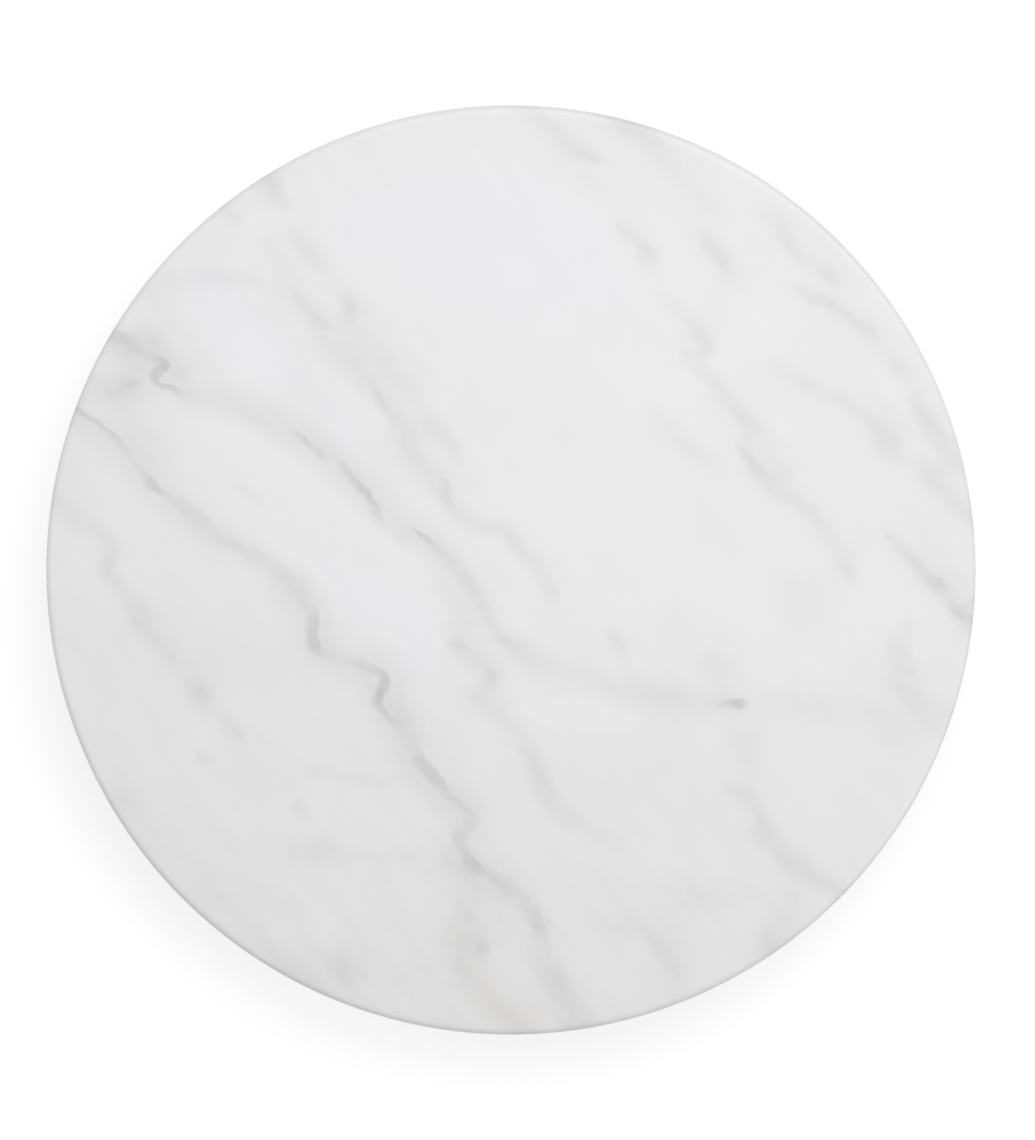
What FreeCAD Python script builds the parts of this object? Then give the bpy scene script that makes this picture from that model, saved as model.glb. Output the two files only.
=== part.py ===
"""Lazy susan turntable: a round marble slab on a low ball-bearing swivel.

Three assemblies turn about one vertical axis:
  turntable   slab, gasket, outer ring, threaded inserts and the screws that hold them together
  ball train  a strip cage and its balls, which roll at about half the turntable's speed
  base        base plate, the two halves of the inner race, their clamping screws and the feet

The balls run in 90 degree V grooves, so they carry the slab's weight and keep the outer ring
from lifting off or tipping. Heights are measured from the surface that the feet stand on, +Z up,
and the turning axis is the Z axis. Units are millimetres.
"""

import FreeCAD
import Part
import Sketcher
import math
import os

from FreeCAD import Vector

PARTS_FOLDER = "parts"
SHEET = "dim"

# Driving dimensions. Each becomes a cell with that alias, and every feature is bound to the cells.
DIMENSIONS = {
    # marble slab
    "slab_diameter": 305,
    "slab_thickness": 16,
    "slab_top_round": 2.5,
    "slab_bottom_round": 1.5,
    # rubber feet
    "foot_count": 6,
    "foot_circle": 148,
    "foot_diameter": 20,
    "foot_height": 2.5,
    "foot_recess": 1.5,
    "foot_fit": 0.1,
    "foot_chamfer": 0.8,
    "foot_stem_diameter": 6,
    "foot_stem_length": 2.4,
    "sole_groove_width": 1.2,
    "sole_groove_depth": 0.6,
    "sole_groove_inner": 7,
    "sole_groove_outer": 13,
    # base plate
    "base_diameter": 176,
    "base_thickness": 5,
    "base_edge_round": 1.5,
    "base_dish_diameter": 96,
    "base_dish_depth": 1,
    # ball bearing
    "ball_count": 24,
    "ball_diameter": 5,
    "pitch_diameter": 136,
    "race_play": 0.05,
    "inner_race_bore": 106,
    "inner_race_outside": 134.4,
    "race_half_height": 4.5,
    "race_edge_chamfer": 0.6,
    # outer ring, which carries the slab
    "ring_bore": 137.6,
    "ring_skirt": 156,
    "ring_lift": 0.8,
    "ring_above_balls": 6,
    "flange_diameter": 200,
    "flange_thickness": 3.5,
    "flange_root_round": 2,
    "flange_edge_chamfer": 0.8,
    # strip cage
    "cage_thickness": 1,
    "cage_height": 6.8,
    "pocket_play": 0.15,
    # gasket under the slab
    "gasket_thickness": 1,
    "gasket_bore": 144,
    "gasket_outside": 198,
    "gasket_hole": 7,
    # M4 countersunk screws
    "screw_head": 7.5,
    "screw_head_sink": 0.1,
    "screw_shank": 3.95,
    "screw_end_chamfer": 0.5,
    "screw_hole": 4.4,
    "thread_bore": 4.05,
    "cross_length": 4.2,
    "cross_width": 1.1,
    "cross_depth": 1.6,
    # screws from the outer ring into the slab
    "ring_screw_count": 6,
    "ring_screw_circle": 188,
    "ring_screw_length": 12,
    # screws that clamp the inner race to the base plate
    "clamp_screw_count": 6,
    "clamp_screw_circle": 118,
    "clamp_screw_length": 14,
    # brass inserts glued into the slab
    "insert_diameter": 6.2,
    "insert_length": 9,
    "insert_groove_depth": 0.4,
    "insert_groove_width": 1.4,
    "insert_hole_diameter": 6.4,
    "insert_hole_depth": 10,
}


def cell(alias):
    """The expression that reads a cell."""
    return f"{SHEET}.{alias}"


def half(alias):
    """The expression for half of a cell, such as a radius."""
    return f"({SHEET}.{alias} / 2)"


# Heights, each built on the one below it.
BASE_BOTTOM = cell("foot_height")
BASE_TOP = f"({BASE_BOTTOM} + {cell('base_thickness')})"
BALL_HEIGHT = f"({BASE_TOP} + {cell('race_half_height')})"
RING_BOTTOM = f"({BASE_TOP} + {cell('ring_lift')})"
RING_TOP = f"({BALL_HEIGHT} + {cell('ring_above_balls')})"
FLANGE_BOTTOM = f"({RING_TOP} - {cell('flange_thickness')})"
SLAB_BOTTOM = f"({RING_TOP} + {cell('gasket_thickness')})"
SLAB_TOP = f"({SLAB_BOTTOM} + {cell('slab_thickness')})"

# From the ball's centre to the groove's corner: the flanks stand at 45 degrees, one play off the ball.
FLANK = f"(sqrt(2) * ({half('ball_diameter')} + {cell('race_play')}))"


def make_sheet(doc):
    """Writes the driving dimensions to the spreadsheet, one row each."""
    sheet = doc.addObject("Spreadsheet::Sheet", SHEET)
    for row, (alias, value) in enumerate(DIMENSIONS.items(), start=1):
        sheet.set(f"A{row}", alias)
        sheet.set(f"B{row}", str(value))
        sheet.setAlias(f"B{row}", alias)
    doc.recompute()
    return sheet


def origin_part(body, role):
    """One of the body's own origin planes or axes, found by its role."""
    return next(feature for feature in body.Origin.OriginFeatures if feature.Role == role)


def make_body(doc, label):
    """A body of one sub-part. Its pattern may leave several separate solids, as a set of screws does."""
    body = doc.addObject("PartDesign::Body", label)
    body.Label = label
    body.AllowCompound = True
    return body


def new_sketch(body, name, plane, height=None):
    """An empty sketch on one of the body's origin planes, raised to a height if one is given."""
    sketch = body.newObject("Sketcher::SketchObject", name)
    sketch.AttachmentSupport = [(origin_part(body, plane), "")]
    sketch.MapMode = "FlatFace"
    if height:
        sketch.setExpression("AttachmentOffset.Base.z", height)
    return sketch


def pin(sketch, edge, end, across, up):
    """Ties one end of an edge to a place in the sketch, given as two expressions."""
    for kind, expression in (("DistanceX", across), ("DistanceY", up)):
        constraint = sketch.addConstraint(Sketcher.Constraint(kind, -1, 1, edge, end, 1.0))
        sketch.setExpression(f"Constraints[{constraint}]", expression)


def add_outline(sketch, corners):
    """A closed outline of straight edges through the corners, each a pair of expressions."""
    count = len(corners)
    angles = [2 * math.pi * i / count for i in range(count)]
    start = [Vector(math.cos(a), math.sin(a), 0) for a in angles]
    for i in range(count):
        sketch.addGeometry(Part.LineSegment(start[i], start[(i + 1) % count]), False)
    for i in range(count):
        sketch.addConstraint(Sketcher.Constraint("Coincident", i, 2, (i + 1) % count, 1))
    for i, (across, up) in enumerate(corners):
        pin(sketch, i, 1, across, up)


def add_circle(sketch, across, up, diameter):
    """A circle whose centre and diameter are expressions."""
    circle = sketch.addGeometry(Part.Circle(Vector(1, 1, 0), Vector(0, 0, 1), 1), False)
    pin(sketch, circle, 3, across, up)
    size = sketch.addConstraint(Sketcher.Constraint("Diameter", circle, 2.0))
    sketch.setExpression(f"Constraints[{size}]", diameter)


def add_axis(sketch, across):
    """A vertical construction line, for turning a profile about an axis of its own."""
    line = sketch.addGeometry(Part.LineSegment(Vector(1, 0, 0), Vector(1, 1, 0)), True)
    sketch.addConstraint(Sketcher.Constraint("Vertical", line))
    pin(sketch, line, 1, across, "0")
    sketch.addConstraint(Sketcher.Constraint("DistanceY", line, 1, line, 2, 1.0))


def turn(body, name, corners, axis=None, cut=False):
    """Turns an outline of (radius, height) corners, about the Z axis or an axis beside it.

    With an axis the corners' first numbers are still measured from the Z axis.
    """
    sketch = new_sketch(body, name + "_outline", "XZ_Plane")
    add_outline(sketch, corners)
    if axis:
        add_axis(sketch, axis)
    kind = "PartDesign::Groove" if cut else "PartDesign::Revolution"
    feature = body.newObject(kind, name)
    feature.Profile = sketch
    feature.ReferenceAxis = (sketch, ["Axis0" if axis else "V_Axis"])
    feature.Angle = 360
    return feature


def drill(body, name, height, across, up, diameter, depth):
    """A round hole going up from a height. It reads the solid below it, so that is made first."""
    body.Document.recompute()
    sketch = new_sketch(body, name + "_outline", "XY_Plane", height)
    add_circle(sketch, across, up, diameter)
    hole = body.newObject("PartDesign::Pocket", name)
    hole.Profile = sketch
    hole.Reversed = True
    hole.setExpression("Length", depth)
    return hole


def repeat(body, name, features, count):
    """Repeats features evenly round the Z axis."""
    body.Document.recompute()
    ring = body.newObject("PartDesign::PolarPattern", name)
    ring.Originals = features
    ring.Axis = (origin_part(body, "Z_Axis"), [""])
    ring.Angle = 360
    ring.setExpression("Occurrences", count)
    body.Tip = ring
    body.Document.recompute()
    return ring


def round_edges(feature, radius, height):
    """The names of the feature's circular edges round the Z axis at a radius and a height."""
    near = 1e-3
    names = []
    for number, edge in enumerate(feature.Shape.Edges, start=1):
        curve = edge.Curve
        if not isinstance(curve, Part.Circle):
            continue
        on_axis = math.hypot(curve.Center.x, curve.Center.y) < near
        if on_axis and abs(curve.Radius - radius) < near and abs(curve.Center.z - height) < near:
            names.append(f"Edge{number}")
    if not names:
        raise ValueError(f"no round edge at radius {radius} and height {height} on {feature.Label}")
    return names


def dress(body, kind, name, feature, places, size):
    """A fillet or chamfer on the round edges at the given (radius, height) places."""
    body.Document.recompute()
    edges = [edge for radius, height in places for edge in round_edges(feature, radius, height)]
    dressing = body.newObject("PartDesign::" + kind, name)
    dressing.Base = (feature, edges)
    dressing.setExpression("Radius" if kind == "Fillet" else "Size", size)
    body.Tip = dressing
    body.Document.recompute()
    return dressing


def countersunk_holes(body, name, circle, face, top, count):
    """Screw holes whose countersinks open downwards at a face, repeated round the axis."""
    axis = half(circle)
    mouth = f"({half('screw_head')} + {cell('screw_head_sink')})"
    corners = [
        (axis, face),
        (f"{axis} + {mouth}", face),
        (f"{axis} + {half('screw_hole')}", f"{face} + {mouth} - {half('screw_hole')}"),
        (f"{axis} + {half('screw_hole')}", top),
        (axis, top),
    ]
    body.Document.recompute()
    hole = turn(body, name, corners, axis=axis, cut=True)
    return repeat(body, name + "_ring", [hole], count)


def marble_slab(doc, sheet):
    """The slab: a disc with eased edges and blind holes underneath for the inserts."""
    body = make_body(doc, "marble_slab")
    blank = turn(
        body,
        "slab_blank",
        [
            ("0", SLAB_BOTTOM),
            (half("slab_diameter"), SLAB_BOTTOM),
            (half("slab_diameter"), SLAB_TOP),
            ("0", SLAB_TOP),
        ],
    )
    doc.recompute()
    radius = sheet.slab_diameter / 2
    box = blank.Shape.BoundBox
    eased = dress(body, "Fillet", "slab_top_edge", blank, [(radius, box.ZMax)], cell("slab_top_round"))
    dress(body, "Fillet", "slab_bottom_edge", eased, [(radius, box.ZMin)], cell("slab_bottom_round"))
    hole = drill(
        body,
        "insert_hole",
        SLAB_BOTTOM,
        half("ring_screw_circle"),
        "0",
        cell("insert_hole_diameter"),
        cell("insert_hole_depth"),
    )
    repeat(body, "insert_holes", [hole], cell("ring_screw_count"))
    return body


def slab_gasket(doc):
    """A flat rubber ring between the slab and the outer ring, punched for the screws."""
    body = make_body(doc, "slab_gasket")
    turn(
        body,
        "gasket_blank",
        [
            (half("gasket_bore"), RING_TOP),
            (half("gasket_outside"), RING_TOP),
            (half("gasket_outside"), SLAB_BOTTOM),
            (half("gasket_bore"), SLAB_BOTTOM),
        ],
    )
    hole = drill(
        body,
        "screw_hole",
        RING_TOP,
        half("ring_screw_circle"),
        "0",
        cell("gasket_hole"),
        cell("gasket_thickness"),
    )
    repeat(body, "screw_holes", [hole], cell("ring_screw_count"))
    return body


def outer_ring(doc, sheet):
    """The turning ring: a skirt with the outer V groove inside it, and a flange under the slab."""
    body = make_body(doc, "outer_ring")
    reach = f"({FLANK} - {half('ring_bore')} + {half('pitch_diameter')})"
    blank = turn(
        body,
        "ring_blank",
        [
            (half("ring_bore"), RING_BOTTOM),
            (half("ring_skirt"), RING_BOTTOM),
            (half("ring_skirt"), FLANGE_BOTTOM),
            (half("flange_diameter"), FLANGE_BOTTOM),
            (half("flange_diameter"), RING_TOP),
            (half("ring_bore"), RING_TOP),
            (half("ring_bore"), f"{BALL_HEIGHT} + {reach}"),
            (f"{half('pitch_diameter')} + {FLANK}", BALL_HEIGHT),
            (half("ring_bore"), f"{BALL_HEIGHT} - {reach}"),
        ],
    )
    doc.recompute()
    top = blank.Shape.BoundBox.ZMax
    under_flange = top - sheet.flange_thickness
    root = dress(
        body,
        "Fillet",
        "flange_root",
        blank,
        [(sheet.ring_skirt / 2, under_flange)],
        cell("flange_root_round"),
    )
    edge = sheet.flange_diameter / 2
    dress(body, "Chamfer", "flange_edge", root, [(edge, under_flange)], cell("flange_edge_chamfer"))
    countersunk_holes(
        body, "ring_screw_hole", "ring_screw_circle", FLANGE_BOTTOM, RING_TOP, cell("ring_screw_count")
    )
    return body


def race_half(doc, sheet, label, side, hole_diameter):
    """Half of the inner race, below the balls with side -1 or above them with side 1."""
    body = make_body(doc, label)
    far = f"({BALL_HEIGHT} + ({side}) * {cell('race_half_height')})"
    reach = f"({FLANK} - {half('pitch_diameter')} + {half('inner_race_outside')})"
    blank = turn(
        body,
        "race_blank",
        [
            (half("inner_race_bore"), far),
            (half("inner_race_outside"), far),
            (half("inner_race_outside"), f"{BALL_HEIGHT} + ({side}) * {reach}"),
            (f"{half('pitch_diameter')} - {FLANK}", BALL_HEIGHT),
            (half("inner_race_bore"), BALL_HEIGHT),
        ],
    )
    doc.recompute()
    box = blank.Shape.BoundBox
    far_height = box.ZMax if side > 0 else box.ZMin
    places = [(sheet.inner_race_bore / 2, far_height), (sheet.inner_race_outside / 2, far_height)]
    dress(body, "Chamfer", "race_edges", blank, places, cell("race_edge_chamfer"))
    hole = drill(
        body,
        "clamp_hole",
        far if side < 0 else BALL_HEIGHT,
        half("clamp_screw_circle"),
        "0",
        cell(hole_diameter),
        cell("race_half_height"),
    )
    repeat(body, "clamp_holes", [hole], cell("clamp_screw_count"))
    return body


def ball_cage(doc):
    """A strip bent into a hoop on the pitch circle, with a round pocket for each ball."""
    body = make_body(doc, "ball_cage")
    inside = f"{half('pitch_diameter')} - {half('cage_thickness')}"
    outside = f"{half('pitch_diameter')} + {half('cage_thickness')}"
    bottom = f"{BALL_HEIGHT} - {half('cage_height')}"
    top = f"{BALL_HEIGHT} + {half('cage_height')}"
    turn(body, "strip", [(inside, bottom), (outside, bottom), (outside, top), (inside, top)])
    doc.recompute()
    sketch = new_sketch(body, "pocket_outline", "YZ_Plane")
    add_circle(sketch, "0", BALL_HEIGHT, f"{cell('ball_diameter')} + 2 * {cell('pocket_play')}")
    pocket = body.newObject("PartDesign::Pocket", "pocket")
    pocket.Profile = sketch
    pocket.Reversed = True
    pocket.setExpression("Length", cell("pitch_diameter"))
    repeat(body, "pockets", [pocket], cell("ball_count"))
    return body


def bearing_balls(doc, sheet):
    """The balls, each on its own place on the pitch circle."""
    balls = []
    for number in range(int(sheet.ball_count)):
        ball = doc.addObject("Part::Sphere", f"bearing_ball_{number + 1:02d}")
        ball.Label = ball.Name
        turned = f"({number} * 360 deg / {cell('ball_count')})"
        ball.setExpression("Radius", half("ball_diameter"))
        ball.setExpression("Placement.Base.x", f"{half('pitch_diameter')} * cos({turned})")
        ball.setExpression("Placement.Base.y", f"{half('pitch_diameter')} * sin({turned})")
        ball.setExpression("Placement.Base.z", BALL_HEIGHT)
        balls.append(ball)
    return balls


def base_plate(doc, sheet):
    """The standing plate: dished underneath, recessed for the feet and countersunk for the clamps."""
    body = make_body(doc, "base_plate")
    dish_top = f"{BASE_BOTTOM} + {cell('base_dish_depth')}"
    blank = turn(
        body,
        "plate_blank",
        [
            ("0", dish_top),
            (half("base_dish_diameter"), dish_top),
            (half("base_dish_diameter"), BASE_BOTTOM),
            (half("base_diameter"), BASE_BOTTOM),
            (half("base_diameter"), BASE_TOP),
            ("0", BASE_TOP),
        ],
    )
    doc.recompute()
    box = blank.Shape.BoundBox
    edge = sheet.base_diameter / 2
    dress(body, "Fillet", "plate_edges", blank, [(edge, box.ZMin), (edge, box.ZMax)], cell("base_edge_round"))
    countersunk_holes(
        body, "clamp_hole", "clamp_screw_circle", BASE_BOTTOM, BASE_TOP, cell("clamp_screw_count")
    )
    between = f"(180 deg / {cell('foot_count')})"
    across = f"{half('foot_circle')} * cos{between}"
    up = f"{half('foot_circle')} * sin{between}"
    recess = drill(
        body,
        "foot_recess",
        BASE_BOTTOM,
        across,
        up,
        f"{cell('foot_diameter')} + 2 * {cell('foot_fit')}",
        cell("foot_recess"),
    )
    stem = drill(
        body,
        "stem_hole",
        BASE_BOTTOM,
        across,
        up,
        f"{cell('foot_stem_diameter')} + 2 * {cell('foot_fit')}",
        f"{cell('foot_recess')} + {cell('foot_stem_length')} + {cell('foot_fit')}",
    )
    repeat(body, "foot_seats", [recess, stem], cell("foot_count"))
    return body


def rubber_foot(doc, number):
    """One push-in foot: a pad with two grip grooves in its sole, and a stem."""
    body = make_body(doc, f"rubber_foot_{number + 1}")
    edge = half("foot_diameter")
    chamfer = cell("foot_chamfer")
    seat = f"{BASE_BOTTOM} + {cell('foot_recess')}"
    groove_top = cell("sole_groove_depth")
    corners = [("0", "0")]
    for groove in ("sole_groove_inner", "sole_groove_outer"):
        near_side = f"{half(groove)}"
        far_side = f"{half(groove)} + {cell('sole_groove_width')}"
        corners += [(near_side, "0"), (near_side, groove_top), (far_side, groove_top), (far_side, "0")]
    corners += [
        (f"{edge} - {chamfer}", "0"),
        (edge, chamfer),
        (edge, seat),
        (half("foot_stem_diameter"), seat),
        (half("foot_stem_diameter"), f"{seat} + {cell('foot_stem_length')}"),
        ("0", f"{seat} + {cell('foot_stem_length')}"),
    ]
    turn(body, "foot", corners)
    turned = f"({2 * number + 1} * 180 deg / {cell('foot_count')})"
    body.setExpression("Placement.Base.x", f"{half('foot_circle')} * cos{turned}")
    body.setExpression("Placement.Base.y", f"{half('foot_circle')} * sin{turned}")
    return body


def countersunk_screws(doc, label, circle, face, length, count):
    """A set of M4 countersunk screws with cross recesses, heads down at a face."""
    body = make_body(doc, label)
    axis = half(circle)
    head = f"{face} + {cell('screw_head_sink')}"
    cone = f"({half('screw_head')} - {half('screw_shank')})"
    tip = f"{head} + {cell(length)}"
    chamfer = cell("screw_end_chamfer")
    screw = turn(
        body,
        "screw",
        [
            (axis, head),
            (f"{axis} + {half('screw_head')}", head),
            (f"{axis} + {half('screw_shank')}", f"{head} + {cone}"),
            (f"{axis} + {half('screw_shank')}", f"{tip} - {chamfer}"),
            (f"{axis} + {half('screw_shank')} - {chamfer}", tip),
            (axis, tip),
        ],
        axis=axis,
    )
    doc.recompute()
    sketch = new_sketch(body, "cross_outline", "XY_Plane", head)
    long_arm, short_arm = half("cross_length"), half("cross_width")
    arms = []
    for turn_x, turn_y in ((1, 1), (-1, 1), (-1, -1), (1, -1)):
        quarter = [(long_arm, short_arm), (short_arm, short_arm), (short_arm, long_arm)]
        if turn_x * turn_y < 0:
            quarter.reverse()
        arms += [(f"{axis} + ({turn_x}) * {across}", f"({turn_y}) * {up}") for across, up in quarter]
    add_outline(sketch, arms)
    cross = body.newObject("PartDesign::Pocket", "cross_recess")
    cross.Profile = sketch
    cross.Reversed = True
    cross.setExpression("Length", cell("cross_depth"))
    repeat(body, "screw_set", [screw, cross], count)
    return body


def threaded_inserts(doc):
    """Brass inserts with glue grooves round them, flush with the slab's underside."""
    body = make_body(doc, "threaded_inserts")
    axis = half("ring_screw_circle")
    bore = f"{axis} + {half('thread_bore')}"
    outside = f"{axis} + {half('insert_diameter')}"
    waist = f"{outside} - {cell('insert_groove_depth')}"
    pitch = f"({cell('insert_length')} / 4)"
    corners = [(bore, SLAB_BOTTOM), (outside, SLAB_BOTTOM)]
    for groove in (1, 2, 3):
        middle = f"{SLAB_BOTTOM} + {groove} * {pitch}"
        low = f"{middle} - {half('insert_groove_width')}"
        high = f"{middle} + {half('insert_groove_width')}"
        corners += [(outside, low), (waist, low), (waist, high), (outside, high)]
    end = f"{SLAB_BOTTOM} + {cell('insert_length')}"
    corners += [(outside, end), (bore, end)]
    insert = turn(body, "insert", corners, axis=axis)
    repeat(body, "insert_set", [insert], cell("ring_screw_count"))
    return body


def check_document(doc, sub_parts):
    """Stops if an object failed to compute, or a sub-part is empty or invalid."""
    for thing in doc.Objects:
        if "Invalid" in thing.State or "Error" in thing.State:
            raise RuntimeError(f"{thing.Label} did not compute: {thing.State}")
    for part in sub_parts:
        shape = part.Shape
        if shape.isNull() or not shape.isValid() or not shape.Solids:
            raise RuntimeError(f"{part.Label} has no valid solid")


def export(sub_parts):
    """Writes one STEP file per sub-part, named after its label."""
    os.makedirs(PARTS_FOLDER, exist_ok=True)
    for part in sub_parts:
        shape = part.Shape
        shape.exportStep(os.path.join(PARTS_FOLDER, part.Label + ".step"))
        print(f"{part.Label:20s} {len(shape.Solids):2d} solids {shape.Volume:12.1f} mm3")


def build():
    """Makes the document, computes it, checks it and writes its sub-parts."""
    doc = FreeCAD.newDocument("lazy_susan")
    sheet = make_sheet(doc)
    sub_parts = [
        marble_slab(doc, sheet),
        slab_gasket(doc),
        outer_ring(doc, sheet),
        threaded_inserts(doc),
        countersunk_screws(
            doc,
            "ring_screws",
            "ring_screw_circle",
            FLANGE_BOTTOM,
            "ring_screw_length",
            cell("ring_screw_count"),
        ),
        ball_cage(doc),
        *bearing_balls(doc, sheet),
        race_half(doc, sheet, "inner_race_lower", -1, "screw_hole"),
        race_half(doc, sheet, "inner_race_upper", 1, "thread_bore"),
        base_plate(doc, sheet),
        countersunk_screws(
            doc,
            "clamp_screws",
            "clamp_screw_circle",
            BASE_BOTTOM,
            "clamp_screw_length",
            cell("clamp_screw_count"),
        ),
        *[rubber_foot(doc, number) for number in range(int(sheet.foot_count))],
    ]
    doc.recompute()
    check_document(doc, sub_parts)
    export(sub_parts)


build()
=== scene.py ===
# %% [markdown]
# # A marble lazy susan
#
# The object is a polished slab of white marble on a low ring bearing. This lesson loads the
# imported CAD model as a fixed frame, then gives each piece its finish. The slab gets the most
# work, because it is what the eye meets: its veins are drawn as strokes, turned into
# numbers at each vertex, and sharpened by noise in the material.

import math

import bpy
import numpy as np
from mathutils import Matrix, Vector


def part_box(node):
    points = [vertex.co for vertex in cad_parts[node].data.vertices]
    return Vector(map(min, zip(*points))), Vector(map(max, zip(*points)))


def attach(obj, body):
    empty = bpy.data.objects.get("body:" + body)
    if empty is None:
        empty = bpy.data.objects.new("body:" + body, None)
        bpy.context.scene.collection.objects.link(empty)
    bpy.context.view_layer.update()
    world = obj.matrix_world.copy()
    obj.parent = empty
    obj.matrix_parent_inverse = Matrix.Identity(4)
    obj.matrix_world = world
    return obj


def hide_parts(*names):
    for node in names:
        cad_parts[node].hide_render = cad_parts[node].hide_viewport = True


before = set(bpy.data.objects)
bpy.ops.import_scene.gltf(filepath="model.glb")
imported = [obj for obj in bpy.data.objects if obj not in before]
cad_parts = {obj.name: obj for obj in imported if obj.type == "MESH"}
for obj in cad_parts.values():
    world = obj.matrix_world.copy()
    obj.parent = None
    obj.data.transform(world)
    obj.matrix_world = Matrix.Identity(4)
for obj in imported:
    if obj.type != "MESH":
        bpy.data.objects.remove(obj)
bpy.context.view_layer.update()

# %% [markdown]
# The slab's own sizes come from its CAD node. Everything below is in metres, and one
# millimetre gets a name, because veins and edge rounds are easier to think of in millimetres.

# %% Sizes of the slab
MM = 0.001
slab_low, slab_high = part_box("marble_slab")
SLAB_RADIUS = (slab_high.x - slab_low.x) / 2
SLAB_TOP, SLAB_BOTTOM = slab_high.z, slab_low.z
TOP_ROUND = 2.5 * MM
BOTTOM_ROUND = 1.5 * MM
HOLE_CIRCLE = 94 * MM
HOLE_RADIUS = 3.2 * MM
HOLE_DEPTH = 10 * MM
HOLES = 6
print(f"slab {2 * SLAB_RADIUS / MM:.1f} mm across, {(SLAB_TOP - SLAB_BOTTOM) / MM:.1f} mm thick")

# %% [markdown]
# ## The camera
#
# It looks straight down from a little over a metre with a long lens, so the round outline
# stays round and the wall doesn't show. The picture is taller than wide, so the sensor's 36 mm
# lie along its height, and the disc takes a share of that. It stands a little left of the
# middle.

# %% Camera
LENS, SENSOR = 100.0, 36.0
DISC_SHARE = 0.8169
ASIDE = 2.15 * MM

view_height = 2 * SLAB_RADIUS / DISC_SHARE
camera_data = bpy.data.cameras.new("camera")
camera_data.lens = LENS
camera_data.sensor_width = SENSOR
camera = bpy.data.objects.new("camera", camera_data)
camera.location = (ASIDE, 0, SLAB_TOP + view_height * LENS / SENSOR)
bpy.context.scene.collection.objects.link(camera)
bpy.context.scene.camera = camera
print(f"camera {camera.location.z:.3f} m up, sees {view_height / MM:.0f} mm at the slab's face")

# %% [markdown]
# ## Small helpers
#
# One puts numpy arrays into a mesh object. The others build a material's nodes from plain
# sums, so that each recipe below reads as a formula.

# %% Mesh helper
CREASE = 35


def make_piece(name, places, faces):
    """A mesh object from vertex places and lists of vertex numbers, smooth but for sharp creases."""
    mesh = bpy.data.meshes.new(name)
    mesh.from_pydata(places.tolist(), [], faces)
    mesh.polygons.foreach_set("use_smooth", np.ones(len(mesh.polygons), bool))
    mesh.set_sharp_from_angle(angle=math.radians(CREASE))
    mesh.update()
    piece = bpy.data.objects.new(name, mesh)
    bpy.context.scene.collection.objects.link(piece)
    triangles = sum(len(face) - 2 for face in faces)
    print(f"{name}: {len(places)} vertices, {triangles} triangles")
    return piece


# %% Node helpers
def new_material(name, metallic=0):
    """A plain material, its node tree and its Principled shader."""
    material = bpy.data.materials.new(name)
    material.use_nodes = True
    shader = material.node_tree.nodes["Principled BSDF"]
    shader.inputs["Metallic"].default_value = metallic
    return material, material.node_tree, shader


def add(tree, kind, **settings):
    """Adds a node and sets its settings."""
    node = tree.nodes.new(kind)
    for key, value in settings.items():
        setattr(node, key, value)
    return node


def feed(tree, socket, value):
    """Joins a socket to another, or writes a number or colour on it."""
    if isinstance(value, bpy.types.NodeSocket):
        tree.links.new(value, socket)
    else:
        socket.default_value = value


def calc(tree, operation, first, second=0.0, third=0.0, clamp=False):
    """The result of one Math node."""
    node = add(tree, "ShaderNodeMath", operation=operation, use_clamp=clamp)
    for socket, value in zip(node.inputs, (first, second, third)):
        feed(tree, socket, value)
    return node.outputs["Value"]


def combine(tree, operation, first, *others):
    """One sum or product of many values, taken from left to right."""
    for other in others:
        first = calc(tree, operation, first, other)
    return first


def spread(tree, value, low, high):
    """A value from 0 to 1 carried straight over to low to high."""
    return calc(tree, "MULTIPLY_ADD", value, high - low, low)


def ramp(tree, value, low, high, to_low=0.0, to_high=1.0):
    """A smooth step: value from low to high becomes to_low to to_high, eased at both ends."""
    node = add(tree, "ShaderNodeMapRange", interpolation_type="SMOOTHSTEP")
    names = ("Value", "From Min", "From Max", "To Min", "To Max")
    for name, number in zip(names, (value, low, high, to_low, to_high)):
        feed(tree, node.inputs[name], number)
    return node.outputs["Result"]


def mix_colour(tree, share, first, second):
    """Two colours mixed by a share from 0 to 1."""
    node = add(tree, "ShaderNodeMix", data_type="RGBA")
    feed(tree, node.inputs["Factor"], share)
    feed(tree, node.inputs["A"], first)
    feed(tree, node.inputs["B"], second)
    return node.outputs["Result"]


def stone_place(tree, turn=0.0, stretch=(1, 1, 1)):
    """Object coordinates, turned about Z by so many degrees and then stretched."""
    mapping = add(tree, "ShaderNodeMapping", vector_type="TEXTURE")
    feed(tree, mapping.inputs["Vector"], add(tree, "ShaderNodeTexCoord").outputs["Object"])
    feed(tree, mapping.inputs["Rotation"], (0, 0, math.radians(turn)))
    feed(tree, mapping.inputs["Scale"], stretch)
    return mapping.outputs["Vector"]


NOISE_SPAN = (0.3, 0.7)


def noise(tree, where, size_mm, detail=2.0, rough=0.5):
    """Soft noise with features of a size in millimetres, mostly from 0.3 to 0.7."""
    node = add(tree, "ShaderNodeTexNoise")
    feed(tree, node.inputs["Vector"], where)
    feed(tree, node.inputs["Scale"], 1 / (size_mm * MM))
    feed(tree, node.inputs["Detail"], detail)
    feed(tree, node.inputs["Roughness"], rough)
    return node.outputs["Fac"]


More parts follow.
